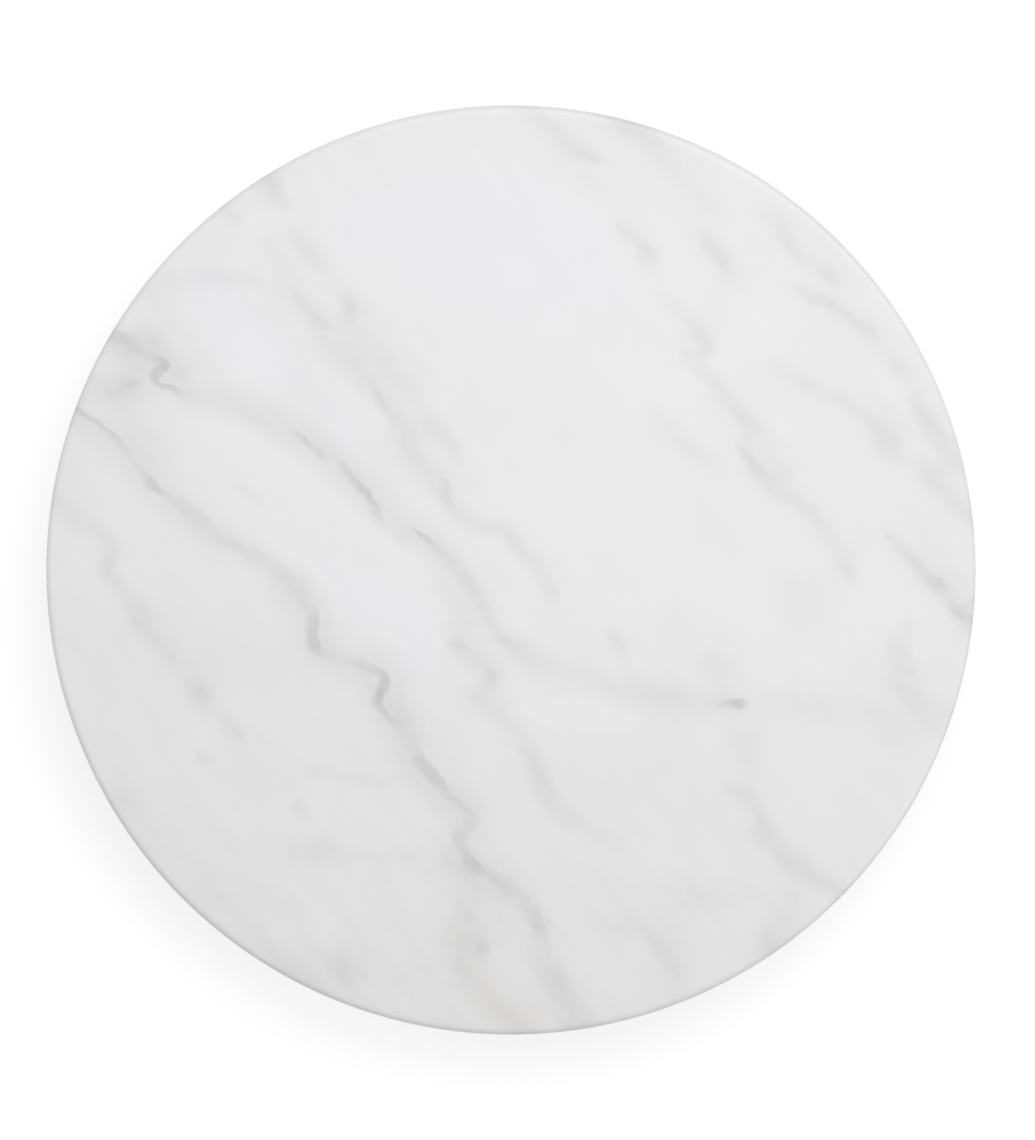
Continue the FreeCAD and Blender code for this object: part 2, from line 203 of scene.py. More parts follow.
def dress(tree, shader, colour, roughness, height, depth_mm, strength):
    """Gives a shader its colour and roughness, and raises it by height x a depth in millimetres."""
    feed(tree, shader.inputs["Base Color"], colour)
    feed(tree, shader.inputs["Roughness"], roughness)
    bump = add(tree, "ShaderNodeBump")
    feed(tree, bump.inputs["Height"], height)
    feed(tree, bump.inputs["Distance"], depth_mm * MM)
    feed(tree, bump.inputs["Strength"], strength)
    feed(tree, shader.inputs["Normal"], bump.outputs["Normal"])


# %% [markdown]
# ## The veins
#
# Veins are old cracks that filled with darker mineral, so they run as families of broken
# lines, all leaning the same way. Noise alone gives veins that lead nowhere, and an image
# texture blurs close up. Here each vein is a stroke drawn as a few points, each with a
# place, a half width and a depth. Soft strokes are the smoky bands.
#
# Places and widths are in millimetres from the slab's centre, x to the right and y away from
# the viewer. Depth is how many steps out of 255 the stone darkens there.

# %% Soft strokes
SOFT = [
    # the first great vein: in at the left, through the middle, out at the right
    [(-140, 79, 5, 9), (-129, 75, 5, 12.5), (-120, 72, 6, 14), (-112, 66, 5.5, 12), (-106, 58.5, 5, 9),
     (-96, 55, 5.2, 9.5), (-85, 52, 5.2, 8.5), (-75, 47, 5, 8.5), (-66.3, 42, 5, 9.5),
     (-57.5, 35.2, 5, 9.5), (-50, 28.8, 5, 8), (-44.2, 21.6, 5.2, 8.5), (-38, 14.4, 5, 9),
     (-28.8, 10.2, 4.6, 11.5), (-21, 4.2, 4.2, 8), (-14, -3.5, 4.2, 6.5), (-9, -12.5, 4.2, 7),
     (-3, -22, 4, 7.5), (7, -29, 4, 7.5), (19, -33.5, 4, 3.5), (33, -38.3, 4.5, 5.5),
     (48, -41.5, 5, 7.5), (61, -43, 5, 7), (70, -42.5, 4.5, 7), (80, -44, 4.5, 3), (86, -43.5, 4, 3),
     (98, -45, 4.5, 4), (110, -46, 5, 3), (124, -46, 5, 2), (134, -49, 6, 4), (146, -50, 6, 5)],
    # the second great vein: in lower down the left, out at the bottom
    [(-146, 54, 4, 6), (-133, 44.5, 4.6, 8), (-123, 34.5, 4.8, 9.5), (-109, 21, 4, 8),
     (-98, 12.5, 3.8, 7), (-88, 6.5, 3.6, 6.5), (-79, 1.5, 4, 6), (-71, -6, 5.2, 12),
     (-66.5, -15, 5.4, 8.5), (-61.5, -25, 5.5, 7.5), (-55, -29.5, 5.2, 8.5), (-46, -33.5, 5.8, 9),
     (-42, -41, 6, 10), (-36, -51, 6.2, 9.5), (-32, -62, 5.8, 9), (-25, -70, 5.2, 9.5),
     (-15, -80, 6, 9.5), (-16, -89, 6.5, 9.5), (-12.5, -97, 6, 9.5), (-3, -102.5, 5, 8.5),
     (4, -108.5, 4.2, 7.5), (9.5, -117, 4, 5.5), (11, -127, 4.2, 5), (15.5, -136, 5, 8.5),
     (21, -145, 5.5, 8.5), (25, -154, 6, 8)],
    # smoke beside the second vein
    [(-40, -96, 5, 1.5), (-30, -96, 6, 2), (-21, -97, 6, 3.5)],
    [(-22, -56, 6, 2.5), (-18, -65, 5, 2)],
    [(-63, -12, 3, 2.5), (-61.5, -18, 3, 3.5), (-60, -23, 3, 2)],
    [(-38, -30, 4, 2), (-34.5, -35, 3.6, 3)],
    [(-112, -14, 10, 2), (-98, -22, 11, 3), (-84, -30, 10, 3), (-70, -32, 9, 2.5), (-60, -38, 7, 1.5)],
    # the stain at the left edge, between the two
    [(-144, 60, 6, 6), (-134, 60, 5.6, 7), (-126, 60.5, 4.8, 8), (-119, 59.5, 4, 5)],
    [(-126.4, 61, 1.3, 3), (-124, 60.6, 1.6, 6), (-122, 60.3, 1.3, 4)],
    [(-131.2, 58.8, 1.2, 3), (-130.9, 57.3, 1.4, 6), (-130.4, 55.6, 1.2, 3)],
    [(-152, 44, 7, 3.5), (-146, 35, 7, 3), (-140, 26, 6, 1)],
    [(-127, 58, 3.4, 5), (-122.5, 48, 4, 6.5), (-116.5, 41, 4.2, 6.5), (-113, 33, 3.2, 2.5)],
    # the double vein above the first
    [(-81, 108, 2.5, 4), (-76, 101, 3, 4.5), (-73, 94, 3.6, 5.5), (-69, 88, 3.6, 6.5),
     (-64, 82, 4, 7.5), (-60, 76, 4.5, 6.5), (-54, 71, 4.5, 8), (-48, 64, 4, 9.5), (-43, 58, 4, 9),
     (-39, 52, 4, 8), (-36.5, 46.5, 3.8, 9.5), (-33.5, 40.5, 3.8, 11.5), (-29, 33.5, 3.8, 8.5),
     (-24.5, 28, 3.8, 8.5), (-21, 23.5, 3.4, 9), (-17, 19, 3, 9), (-11, 15.5, 3, 8), (-4, 14, 2.8, 7),
     (0, 11, 2.6, 9), (4, 6, 2.6, 8), (8.5, 2, 2.6, 6), (11, -3, 2.8, 5.5), (13.5, -8, 2.8, 6),
     (15, -11, 2, 2)],
    [(-57, 92, 2.4, 3), (-53, 87, 3, 9), (-52, 80, 3.5, 4.5), (-47, 74, 3.5, 4.5),
     (-41.5, 69, 3.4, 7.5), (-37, 63, 3.4, 6), (-33, 58, 3.4, 4.5), (-29, 51.5, 3.4, 4.5),
     (-26.5, 47, 3.4, 8), (-22, 43, 2.6, 7.5), (-18.5, 39.5, 2.4, 7), (-17, 36, 2, 3)],
    [(-71, 110, 2.6, 3.5), (-67, 105, 3, 7), (-63, 100, 3, 6.5), (-59, 96, 2.8, 2)],
    [(-46, 84, 4, 1.5), (-40, 74, 4, 2), (-30, 62, 4, 2)],
    [(18, 134, 5, 2), (28, 127, 5, 2)],
    [(-18, 32, 4, 2), (-13, 26, 4, 1.5)],
    # the vein that leaves the first one downwards
    [(-22, -4, 4, 3), (-17, -13, 4.5, 6.5), (-16, -22, 4.8, 8.5), (-12, -28, 4.5, 8.5),
     (-6, -34, 3.6, 10.5), (-9, -41, 4.6, 10), (-4, -46, 3.6, 7.5), (0, -51, 3.4, 6), (4.6, -58, 3, 7),
     (7.4, -64, 3, 8), (9.6, -70, 3.2, 8.5), (12.8, -75.8, 3.2, 7.5), (17, -79.6, 3, 6.5),
     (21, -82, 2.6, 6.5), (27, -86, 2.6, 4.5), (34, -90, 3, 3)],
    # low on the left
    [(-150, 22, 4, 6), (-142, 16, 3.6, 7), (-135, 12, 3, 7), (-131, 6, 3.4, 9), (-132, 0, 3, 8),
     (-128, -5, 3, 6), (-124, -11, 3.5, 6.5), (-121, -17, 3.8, 10), (-116, -22, 3.5, 8),
     (-112, -28, 4, 8), (-106.5, -35, 4, 6), (-102.5, -41, 3.8, 11.5), (-100.5, -45.5, 3, 5)],
    [(-94, -49.5, 2.6, 5), (-90.5, -52.5, 2.8, 7)],
    [(-101, -32, 3.5, 2), (-98, -37, 3.6, 3.5), (-96, -42, 3, 2)],
    [(-138, -16, 6, 2), (-128, -24, 6, 2.5), (-120, -32, 5, 2)],
    [(-129, -70, 4, 3.5), (-127, -75, 4, 5), (-121, -82, 4, 3), (-115, -92, 3, 1.5)],
    # the upper right
    [(48, 91, 2.2, 1.5), (54, 86, 2.6, 3), (59, 81, 2.4, 5), (62, 77, 2.8, 10.5), (64, 73, 2.6, 10),
     (61, 68, 2.4, 6), (64, 64, 2.4, 7), (69, 59, 2.6, 7), (73, 54, 2.6, 8), (76, 50, 2.4, 9.5),
     (79, 46, 2.4, 6), (77, 41, 2.6, 5.5), (78, 36, 2.2, 7.5), (81.5, 32, 2.6, 8), (85, 28.5, 2.6, 7),
     (88, 25, 2.8, 6), (93, 23.5, 2.4, 7.5), (97, 20, 2.4, 7.5), (102, 15, 2.4, 4.5),
     (106, 9, 2.6, 4.5), (109, 4, 2.8, 5), (111, -1, 2.6, 7), (112.5, -5, 2, 2)],
    [(56.5, 72, 1.5, 6), (57.5, 70, 1.5, 6)],
    [(80, 47, 3, 2.5), (84, 38, 4.5, 4), (89, 31, 4.4, 6), (92, 27, 3, 2)],
    [(44, 52, 3, 2), (52, 45, 3, 4.5), (58, 40, 3, 6.5), (66, 34, 4, 3.5)],
    [(3, 153, 3, 5), (9, 147.5, 3.2, 5.5), (15, 142.5, 3.2, 6), (21, 138.5, 3, 8), (27, 135.8, 2, 11),
     (30.5, 135, 1.5, 4)],
    [(34, 152, 5, 8), (41, 145.5, 5, 12), (47, 139, 4, 7), (53, 132, 5, 4), (59, 125, 6, 2.5),
     (64, 119, 5, 3)],
    [(36.5, 112.5, 1.6, 6.5), (40, 109, 2, 6.5), (43.5, 106, 2.2, 9.5), (45.5, 102.5, 2.4, 9),
     (46, 99, 2, 4)],
    [(63.5, 110, 2.2, 5), (66, 106, 2.6, 8), (69, 101.5, 2.8, 9.5), (71.5, 97, 3, 5), (73, 93, 3, 2)],
    [(82, 119, 2.2, 1), (87, 114.5, 2.2, 5.5), (89.5, 109.5, 2.4, 8), (92.5, 105, 2.2, 9),
     (98, 102, 3, 5), (102, 98.5, 2.8, 6.5), (105.5, 95.5, 2.4, 9), (108, 92, 3, 2)],
    [(94.5, 91.5, 1.6, 8), (99, 89, 2, 9), (104, 87, 2, 10), (109, 84, 2.2, 8), (114, 81.5, 2.2, 9),
     (118, 78.5, 2.2, 8.5), (120.5, 74, 2.4, 3), (124, 70, 2.4, 4), (127, 67, 2.4, 9), (130, 62, 3, 4),
     (133, 56, 2.6, 7), (136.5, 49, 3.2, 11), (141, 42, 3.4, 11), (146, 34, 3.4, 8)],
    [(116, 58, 4, 2), (124, 50, 4.4, 3.5), (129, 44, 4, 3)],
    [(87, 67, 2.5, 3), (93, 62, 2.2, 4), (97.5, 60, 2.2, 6), (103, 58, 2.6, 3), (108, 55.5, 2, 7.5),
     (113, 52, 2.2, 6.5), (116.5, 49, 2.6, 7), (120, 45, 3.8, 9.5), (123.5, 40.5, 4, 10),
     (127, 37, 2.6, 5)],
    [(134, 35, 2.6, 5.5), (137.5, 30, 3.8, 9), (142, 25, 3, 6), (147, 20.5, 2.6, 6), (152, 17, 2.6, 6)],
    # the right edge
    [(137, 3, 4, 1), (142, -1, 4, 4), (149, -6, 4, 4), (155, -9, 4, 4)],
    [(123.5, 11, 1.8, 5), (128, 7, 2.2, 7), (132, 3.5, 2.2, 10), (136, -1.5, 2.6, 9), (140, -5, 2.8, 8),
     (144, -10, 2.8, 7.5), (148, -15, 3.6, 9), (154, -20, 4, 12)],
    [(129, -19, 3, 4), (127, -27, 3.8, 7), (128, -35, 4, 9), (131, -41, 3.6, 8.5), (134, -47, 3.4, 3)],
    [(121, -50, 5, 2), (124, -54, 5, 3)],
    # patches right of the middle
    [(65, -31, 4.5, 5), (69, -32, 4.5, 4)],
    [(33, -20, 2.4, 6), (35.5, -24.5, 2.8, 8), (38, -28.5, 2.2, 3)],
    [(90, -4, 2, 3), (95, -8, 7, 2.5)],
    # the lower right
    [(71, -71, 2, 6), (76, -73.5, 2.4, 10), (80.5, -78, 2.8, 9), (82, -85, 3.6, 11.5),
     (87, -90.3, 3.2, 9.5), (92, -95.4, 3, 11), (97.5, -100.5, 3, 11), (104, -104, 3, 8),
     (112, -108, 3, 6)],
    [(73, -50, 4, 2), (76, -55, 4.5, 5.5), (77, -60, 4.5, 6), (79, -67, 4, 3)],
    [(50, -103, 4, 3), (58, -106, 6, 5), (70, -106, 5, 4), (84, -107, 3, 2)],
    [(92, -108, 4, 3), (89, -114, 5, 6.5), (86, -119, 4.5, 8.5), (84, -124, 4, 7)],
    [(32, -116, 6, 3), (42, -117, 4, 5.5), (47.5, -122, 3.8, 6.5), (52, -128, 4.4, 6),
     (54, -137, 4.5, 4), (56, -146, 5, 3)],
    [(14, -100, 7, 1.5), (28, -104, 7, 1.5)],
    [(22, -68, 14, 1), (40, -70, 16, 2), (58, -76, 12, 1)],
    # under the second vein
    [(-17, -107, 3.6, 3), (-15.5, -113, 3, 6), (-13.5, -119, 3, 7), (-9.5, -123.5, 2.4, 9)],
    [(-19, -116, 4, 3), (-18.5, -124, 4, 5), (-16.5, -132, 4, 7), (-12, -138, 3.2, 4.5),
     (-7, -142.5, 3.2, 3), (-1, -147, 3.2, 5), (5, -153, 3.2, 5)],
    [(-11, -110, 6, 3.5), (-8, -121, 6, 4), (-5, -132, 6, 2)],
    # lone spots and faint streaks
    [(-69, -92, 3.4, 4), (-63, -91.5, 4, 7), (-57.5, -92, 3.4, 4)],
    [(-54, -95, 1.4, 3.5), (-44, -94.5, 1.4, 3), (-30, -94, 1.6, 1)],
    [(-65, -66, 1.3, 4), (-58, -67, 1.2, 6), (-52, -68, 1.4, 5), (-43, -69, 1.6, 3),
     (-34, -69, 1.6, 2)],
    [(-56, -128, 2.6, 6.5), (-54, -132, 2.8, 7)],
    [(-82, -125, 4, 3), (-70, -132, 4, 4), (-56, -138, 5, 3)],
    [(-94, -117, 8, 1), (-80, -124, 7, 1), (-52, -124, 7, 2)],
    [(-84, -66, 6, 1.5), (-72, -70, 6, 2)],
    [(-69.5, -77, 1.5, 6), (-68.5, -79.5, 1.5, 5)],
    [(-101.5, -61.5, 1.4, 5), (-99, -62.5, 1.2, 3.5)],
    [(-79, 128, 3, 10), (-77.5, 123, 2.8, 9), (-74.5, 119, 2, 6)],
    [(-95, 121, 4, 7), (-91, 116, 2.6, 5)],
    [(-84, 126, 6, 1.5), (-66, 138, 6, 2)],
    [(-112, 95, 3, 3), (-98, 95.5, 3, 5), (-84, 95, 2.4, 3)],
    [(-122, 94, 6, 5), (-110, 80, 5, 2), (-98, 68, 5, 2)],
    [(-88, 27, 1.6, 4), (-85, 24.5, 1.6, 4), (-82, 22, 1.4, 3)],
    [(-86, -55, 5, 2), (-82, -57, 5, 2)],
]

# %% [markdown]
# Inside some bands the crack itself shows, as a thin dark seam, crisp on one side and smoky on
# the other. A narrower soft stroke would stay a blur, so seams are a list of their own, about a
# millimetre in half width. They stop and start where the dark mineral is missing.

# %% Sharp strokes
SHARP = [
    [(-129, 77, 1, 6), (-126, 75.6, 0.9, 11), (-122, 73, 1.4, 5), (-117.5, 70, 1.3, 5),
     (-114.3, 69, 0.9, 12), (-112.8, 67.2, 1, 18), (-114.6, 65.2, 1.1, 22), (-116.6, 63.2, 1, 21),
     (-115, 61, 0.7, 18), (-111, 59.8, 0.6, 12), (-108.5, 58.2, 0.9, 10), (-105, 57.3, 0.9, 3)],
    [(-71.5, 46, 0.5, 2), (-69.5, 44.5, 0.6, 14), (-67, 42.2, 0.7, 12), (-64.3, 40.3, 0.7, 7),
     (-62.4, 38, 0.8, 13), (-61, 36.8, 0.7, 3)],
    [(-56.4, 35.6, 0.5, 2), (-54, 33, 0.8, 15), (-51.3, 29.8, 0.9, 17), (-48.3, 26.8, 1, 19),
     (-46.2, 23.8, 0.9, 17), (-44.8, 20.5, 1.2, 13), (-43.2, 17.4, 1.3, 5)],
    [(-33, 14.2, 0.5, 2), (-30.8, 12.5, 0.6, 20), (-28, 10.7, 0.6, 16), (-25.2, 8.2, 0.7, 11),
     (-22, 5, 1.1, 5), (-18, 0.6, 1.5, 5), (-14, -4, 1.5, 5), (-10.6, -9, 1.3, 6),
     (-8.6, -12.5, 1.1, 5), (-7, -17, 1.2, 2)],
    [(-5, -21.5, 1.2, 3), (-1.5, -23.2, 1.3, 7), (3, -25, 1.4, 3)],
    [(67.5, -43.8, 0.7, 2), (70, -44, 0.9, 14), (73.5, -43.7, 1, 22), (76, -43.6, 0.9, 20),
     (77.6, -43.5, 0.6, 3)],
    [(-146, 55, 0.8, 12), (-141.8, 52.7, 0.7, 15), (-137.7, 49.9, 0.7, 14), (-134.4, 47.4, 0.6, 12),
     (-130.4, 44.2, 0.6, 11), (-127.1, 41, 0.7, 10), (-125.4, 38.5, 0.8, 6)],
    [(-122.6, 34.6, 0.8, 4), (-119.6, 31.4, 0.9, 10), (-117.8, 29, 1.2, 14), (-115.6, 26.6, 0.9, 15),
     (-113.4, 25, 0.8, 7), (-107, 21, 1.5, 5), (-102, 17.2, 1.7, 6), (-97.5, 12.5, 1.5, 4),
     (-94, 9.6, 1, 8), (-89, 7.6, 1.3, 5), (-84, 4.8, 1.5, 5), (-79, 2.4, 1.6, 5), (-74, -1, 1.7, 3)],
    [(-66.5, -12, 1.2, 4), (-65.2, -14, 1.5, 11), (-64.7, -17.5, 1.2, 12), (-64.8, -21.5, 1.3, 13),
     (-63.9, -25.2, 1.5, 17), (-61.8, -27, 0.9, 7), (-57, -28.6, 1.2, 2.5), (-52.5, -29.6, 1.1, 3),
     (-49.6, -30.4, 1.2, 10), (-46, -32, 1, 9), (-43, -33.1, 0.8, 14), (-41.2, -34.8, 1, 18),
     (-41.2, -37.6, 1.4, 19), (-43, -40.6, 1, 20), (-43.3, -43.2, 1.5, 16), (-41.6, -46, 0.8, 13),
     (-39.4, -48.6, 0.7, 11), (-36, -50.8, 1.1, 6)],
    [(-34, -54, 1.3, 3), (-32, -58, 1.6, 5), (-29.5, -62, 1.6, 13), (-27, -65.4, 1.7, 15),
     (-24.5, -68.2, 1.6, 13), (-22, -71, 1, 12), (-20, -73.6, 0.8, 5)],
    [(-20.5, -74.4, 0.5, 8), (-18, -74.8, 0.8, 13), (-15.8, -76.4, 0.6, 11), (-13.5, -78.6, 1, 4)],
    [(-12.6, -79.6, 1.2, 4), (-12, -81.6, 1.3, 6), (-14.2, -85, 1.2, 4), (-17, -88, 1.4, 9),
     (-15.4, -91.4, 1.2, 6), (-12.8, -96, 1.7, 18), (-9, -98.8, 1.3, 6), (-4, -101, 1.5, 7),
     (0, -104, 1.6, 8), (4, -107, 1.4, 5), (7, -112, 1.6, 7), (9.5, -117, 1.7, 9),
     (10.6, -120.5, 1.5, 3)],
    [(-10, -120.5, 1.2, 2), (-9, -123.4, 1.9, 5), (-8.6, -126, 1.4, 2)],
    [(-70, 90, 1, 3), (-69, 88, 1.2, 5), (-66, 85, 1, 4), (-63.5, 82.5, 1, 6), (-60.5, 80.3, 1, 6),
     (-58.5, 79.4, 0.8, 2)],
    [(-52.8, 89, 1, 3), (-52.6, 85.6, 1, 4), (-52.4, 81.6, 1, 4), (-51, 79, 0.8, 1)],
    [(-44.6, 58.4, 0.8, 5), (-43.2, 56.3, 0.8, 9), (-41.6, 53, 0.9, 6), (-38.5, 49.6, 1, 2)],
    [(-22, 28.5, 1.1, 6), (-21.6, 26.6, 1.2, 8), (-20.6, 23, 1.1, 5), (-19, 20.5, 1, 2)],
    [(76, 38.5, 1, 3), (78, 36.8, 1.1, 5), (81, 33, 1.1, 5), (82.5, 31, 1, 1)],
    [(138, -3, 1.4, 6), (140, -4.6, 1.6, 9), (141.5, -5.6, 1.2, 4)],
    [(145, -12, 1, 6), (146.4, -13.8, 1.1, 13), (148, -15, 1, 12), (152, -16.6, 1, 12)],
    [(147.5, -12.5, 0.8, 4), (150, -10.6, 1, 8), (154, -9, 1, 7)],
    [(-18.6, -24.4, 1.2, 4), (-16.6, -24.8, 1.2, 4)],
    [(-6.8, -33.6, 1.1, 3), (-6, -35.4, 1.1, 4), (-5.6, -37.4, 1, 1)],
]

# %% [markdown]
# The ground between the veins isn't one white. Iron leaves a few warm flecks near the rim,
# clear stretches beside the great veins are paler than the rest, and some broad fields lean to
# a cool white. These are soft strokes again, mostly wide and shallow. Depth is how far the clear
# ones lighten, and how strong the tint of the others is.

# %% Warm, clear and cool ground
WARM = [
    [(86, -126, 2.2, 7), (90, -123, 2.2, 7), (96, -119, 2, 3)],
    [(107, -110, 2, 5), (110, -107, 2, 5)],
    [(-17, -119, 2.4, 4), (-16, -124, 2.4, 4), (-9, -134, 3, 4), (-8, -142, 5, 5), (6, -147, 5, 4)],
]
CLEAR = [
    [(-96, 45, 9, 3), (-78, 33, 10, 3), (-62, 14, 12, 4), (-44, 0, 12, 4), (-34, -14, 9, 4)],
    [(-92, 80, 10, 1.5), (-84, 68, 8, 2)],
    [(6, -46, 4, 3), (22, -47, 4, 4), (36, -48.5, 4, 3)],
    [(60, 62, 5, 2), (78, 80, 6, 3)],
    [(-84, -102, 7, 1.5), (-70, -103, 6, 1)],
    [(-71, -117, 5, 2), (-64, -118, 5, 3.5)],
]
COOL = [
    [(-50, 112, 14, 7), (-25, 120, 18, 7), (0, 118, 20, 7), (22, 112, 16, 6)],
    [(-28, 92, 12, 5), (0, 90, 14, 6), (30, 90, 12, 5)],
    [(-98, 90, 10, 9), (-88, 76, 11, 10), (-74, 64, 10, 6), (-58, 52, 9, 6), (-52, 34, 8, 6)],
    [(-60, 0, 7, 6), (-48, -8, 9, 9), (-34, -16, 9, 9), (-32, -28, 7, 8)],
    [(-110, 10, 6, 5), (-92, -8, 6, 3)],
    [(-46, -68, 4, 4), (-32, -70, 5, 6)],
]
print(len(SOFT), "soft strokes,", len(SHARP), "sharp ones,", len(WARM + CLEAR + COOL), "of colour")

# %% [markdown]
# A stroke's points are joined by a Catmull-Rom curve, which passes through each point with no
# corner. Then each vertex of the slab asks the nearest point of the curve how far it is, on
# which side, and how wide and deep the stroke is there. Painting weights by hand would do the
# same job, but a stroke can be moved later by changing one point.

# %% Strokes as curves
ROW_SPACING = 1.0


def smooth_stroke(points):
    """Rows of (x, y, half width, depth) along the Catmull-Rom curve through the points.

    Between points 1 and 2 the curve is half of: 2 p1 + (p2 - p0) s + (2 p0 - 5 p1 + 4 p2 - p3) s^2
    + (3 p1 - p0 - 3 p2 + p3) s^3, with s from 0 to 1 and about one row to the millimetre.
    """
    p = np.array(points, float)
    p = np.vstack([2 * p[0] - p[1], p, 2 * p[-1] - p[-2]])
    lengths = np.hypot(*(p[2:-1, :2] - p[1:-2, :2]).T)
    counts = np.maximum(1, np.ceil(lengths / ROW_SPACING).astype(int))
    piece = np.repeat(np.arange(len(counts)), counts)
    first = np.repeat(np.cumsum(counts) - counts, counts)
    s = ((np.arange(len(piece)) - first) / counts[piece])[:, None]
    p0, p1, p2, p3 = p[piece], p[piece + 1], p[piece + 2], p[piece + 3]
    cubic = 2 * p1 + (p2 - p0) * s + (2 * p0 - 5 * p1 + 4 * p2 - p3) * s**2
    rows = (cubic + (3 * p1 - p0 - 3 * p2 + p3) * s**3) / 2
    rows = np.vstack([rows, p[-2]])
    rows[:, 2:] = np.maximum(rows[:, 2:], 0)
    return rows


# %% [markdown]
# A place asks only the strokes whose box it lies in, which keeps the sums short: most of the
# slab is far from any one stroke.


# %% Distance from a stroke
def nearest_on_stroke(rows, places):
    """For each place: its distance from the stroke, its side (+1 left, -1 right), width and depth.

    On each short segment the nearest point is the start plus the segment times a share, which is
    the place's shadow on it, held from 0 to 1.
    """
    start, along = rows[:-1, :2], np.diff(rows[:, :2], axis=0)
    away = places[:, None, :] - start[None]
    share = np.clip((away * along).sum(2) / (along**2).sum(1), 0, 1)
    gap = away - share[..., None] * along
    distance = np.hypot(gap[..., 0], gap[..., 1])
    best = distance.argmin(1)
    row = np.arange(len(places))
    t = share[row, best][:, None]
    values = rows[best, 2:] * (1 - t) + rows[best + 1, 2:] * t
    cross = along[best, 0] * away[row, best, 1] - along[best, 1] * away[row, best, 0]
    return distance[row, best], np.where(cross >= 0, 1.0, -1.0), values[:, 0], values[:, 1]


def stroke_fields(strokes, places, reach):
    """For each stroke: which places lie within reach half widths, and their nearest_on_stroke."""
    for points in strokes:
        rows = smooth_stroke(points)
        margin = reach * rows[:, 2].max() + ROW_SPACING
        low, high = rows[:, :2].min(0) - margin, rows[:, :2].max(0) + margin
        near = np.flatnonzero(((places > low) & (places < high)).all(1))
        if len(near):
            yield near, nearest_on_stroke(rows, places[near])


# %% [markdown]
# Smoky bands fade out like breath on glass, so each darkens by a bell curve across its width,
# and where two cross their depths add up.

# %% Smoky bands
BAND_REACH = 3
BAND_SOFTNESS = 1.4
THINNEST_BAND = 0.1


def soft_field(strokes, places):
    """The sum of all strokes' depth x exp(-(distance / half width)^2 / softness)."""
    total = np.zeros(len(places))
    for near, (distance, _, width, depth) in stroke_fields(strokes, places, BAND_REACH):
        scaled = distance / np.maximum(width, THINNEST_BAND)
        total[near] += depth * np.exp(-(scaled**2) / BAND_SOFTNESS)
    return total


# %% [markdown]
# Seams don't add up: a place belongs to the nearest one. The material needs to know how far
# away that is and on which side, because only one side is crisp.

# %% Seams
SEAM_SEARCH = 8
THINNEST_SEAM = 0.3
WIDEST_GAP = 6.0
FADE_START, FADE_END = 2.0, 4.0


def sharp_field(strokes, places):
    """The signed distance to the nearest seam in its own half widths, and that seam's depth.

    The sign lets the gap pass through 0 between two vertices, so a seam thinner than the mesh
    stays whole. The depth fades out from 2 to 4 mm away, where the sign may jump.
    """
    closest = np.full(len(places), np.inf)
    gap = np.full(len(places), WIDEST_GAP)
    strength = np.zeros(len(places))
    for near, (distance, side, width, depth) in stroke_fields(strokes, places, SEAM_SEARCH):
        wins = distance < closest[near]
        chosen = near[wins]
        closest[chosen] = distance[wins]
        scaled = side[wins] * distance[wins] / np.maximum(width[wins], THINNEST_SEAM)
        gap[chosen] = np.clip(scaled, -WIDEST_GAP, WIDEST_GAP)
        fade = (FADE_END - distance[wins]) / (FADE_END - FADE_START)
        strength[chosen] = depth[wins] * np.clip(fade, 0, 1)
    return gap, strength


# %% [markdown]
# Real veins tremble. Before the strokes are asked for, each vertex is moved a little by smooth
# random noise, so that the bands wander and swell. The noise is a lattice of random numbers
# from a fixed seed, joined by smooth steps.

# %% Noise in numpy
LATTICE = 256
FINE_SEEDS = 10


def lattice_noise(places, size, seed):
    """Smooth noise from -1 to 1, from random numbers on a square lattice of a size in millimetres.

    Across each cell they are blended by 6 s^5 - 15 s^4 + 10 s^3, with s from 0 to 1.
    """
    values = np.random.default_rng(seed).uniform(-1, 1, (LATTICE, LATTICE))
    at = places / size + LATTICE / 2
    cell = np.floor(at).astype(int)
    s = at - cell
    s = s**3 * (s * (s * 6 - 15) + 10)
    i, j = cell[:, 0] % LATTICE, cell[:, 1] % LATTICE
    i1, j1 = (i + 1) % LATTICE, (j + 1) % LATTICE
    low = values[i, j] * (1 - s[:, 0]) + values[i1, j] * s[:, 0]
    high = values[i, j1] * (1 - s[:, 0]) + values[i1, j1] * s[:, 0]
    return low * (1 - s[:, 1]) + high * s[:, 1]


def tremble(places, amount, size, seed):
    """The places moved in x and y by amount x (noise of a size + half as much of half the size)."""
    moved = []
    for own_seed in (seed, seed + 1):
        coarse = lattice_noise(places, size, own_seed)
        fine = lattice_noise(places, size / 2, own_seed + FINE_SEEDS)
        moved.append(coarse + fine / 2)
    return places + amount * np.stack(moved, axis=1)


# %% [markdown]
# ## The slab's shape
#
# A cylinder primitive would have one big face on top, with nowhere to keep the veins. A polar
# grid would crowd its vertices at the centre. So the top is a square grid pressed into a disc,
# which keeps its cells nearly equal, about a millimetre across. Its rim has four times the
# grid's side in vertices, and those carry on over the rounded edge and down the wall.
#
# Every polygon also keeps which part of the stone it belongs to: the face, the wall or the
# underside. The map for baking will ask for that.

# %% Counts
GRID = 264
RIM = 4 * GRID
COARSE = RIM // 4
SECTOR = COARSE // HOLES
TOP_STEPS, WALL_STEPS, BOTTOM_STEPS = 8, 5, 4
FACE, WALL, UNDER = 0, 1, 2
START_ANGLE = -math.pi / 4
FLAT_RADIUS = SLAB_RADIUS - TOP_ROUND


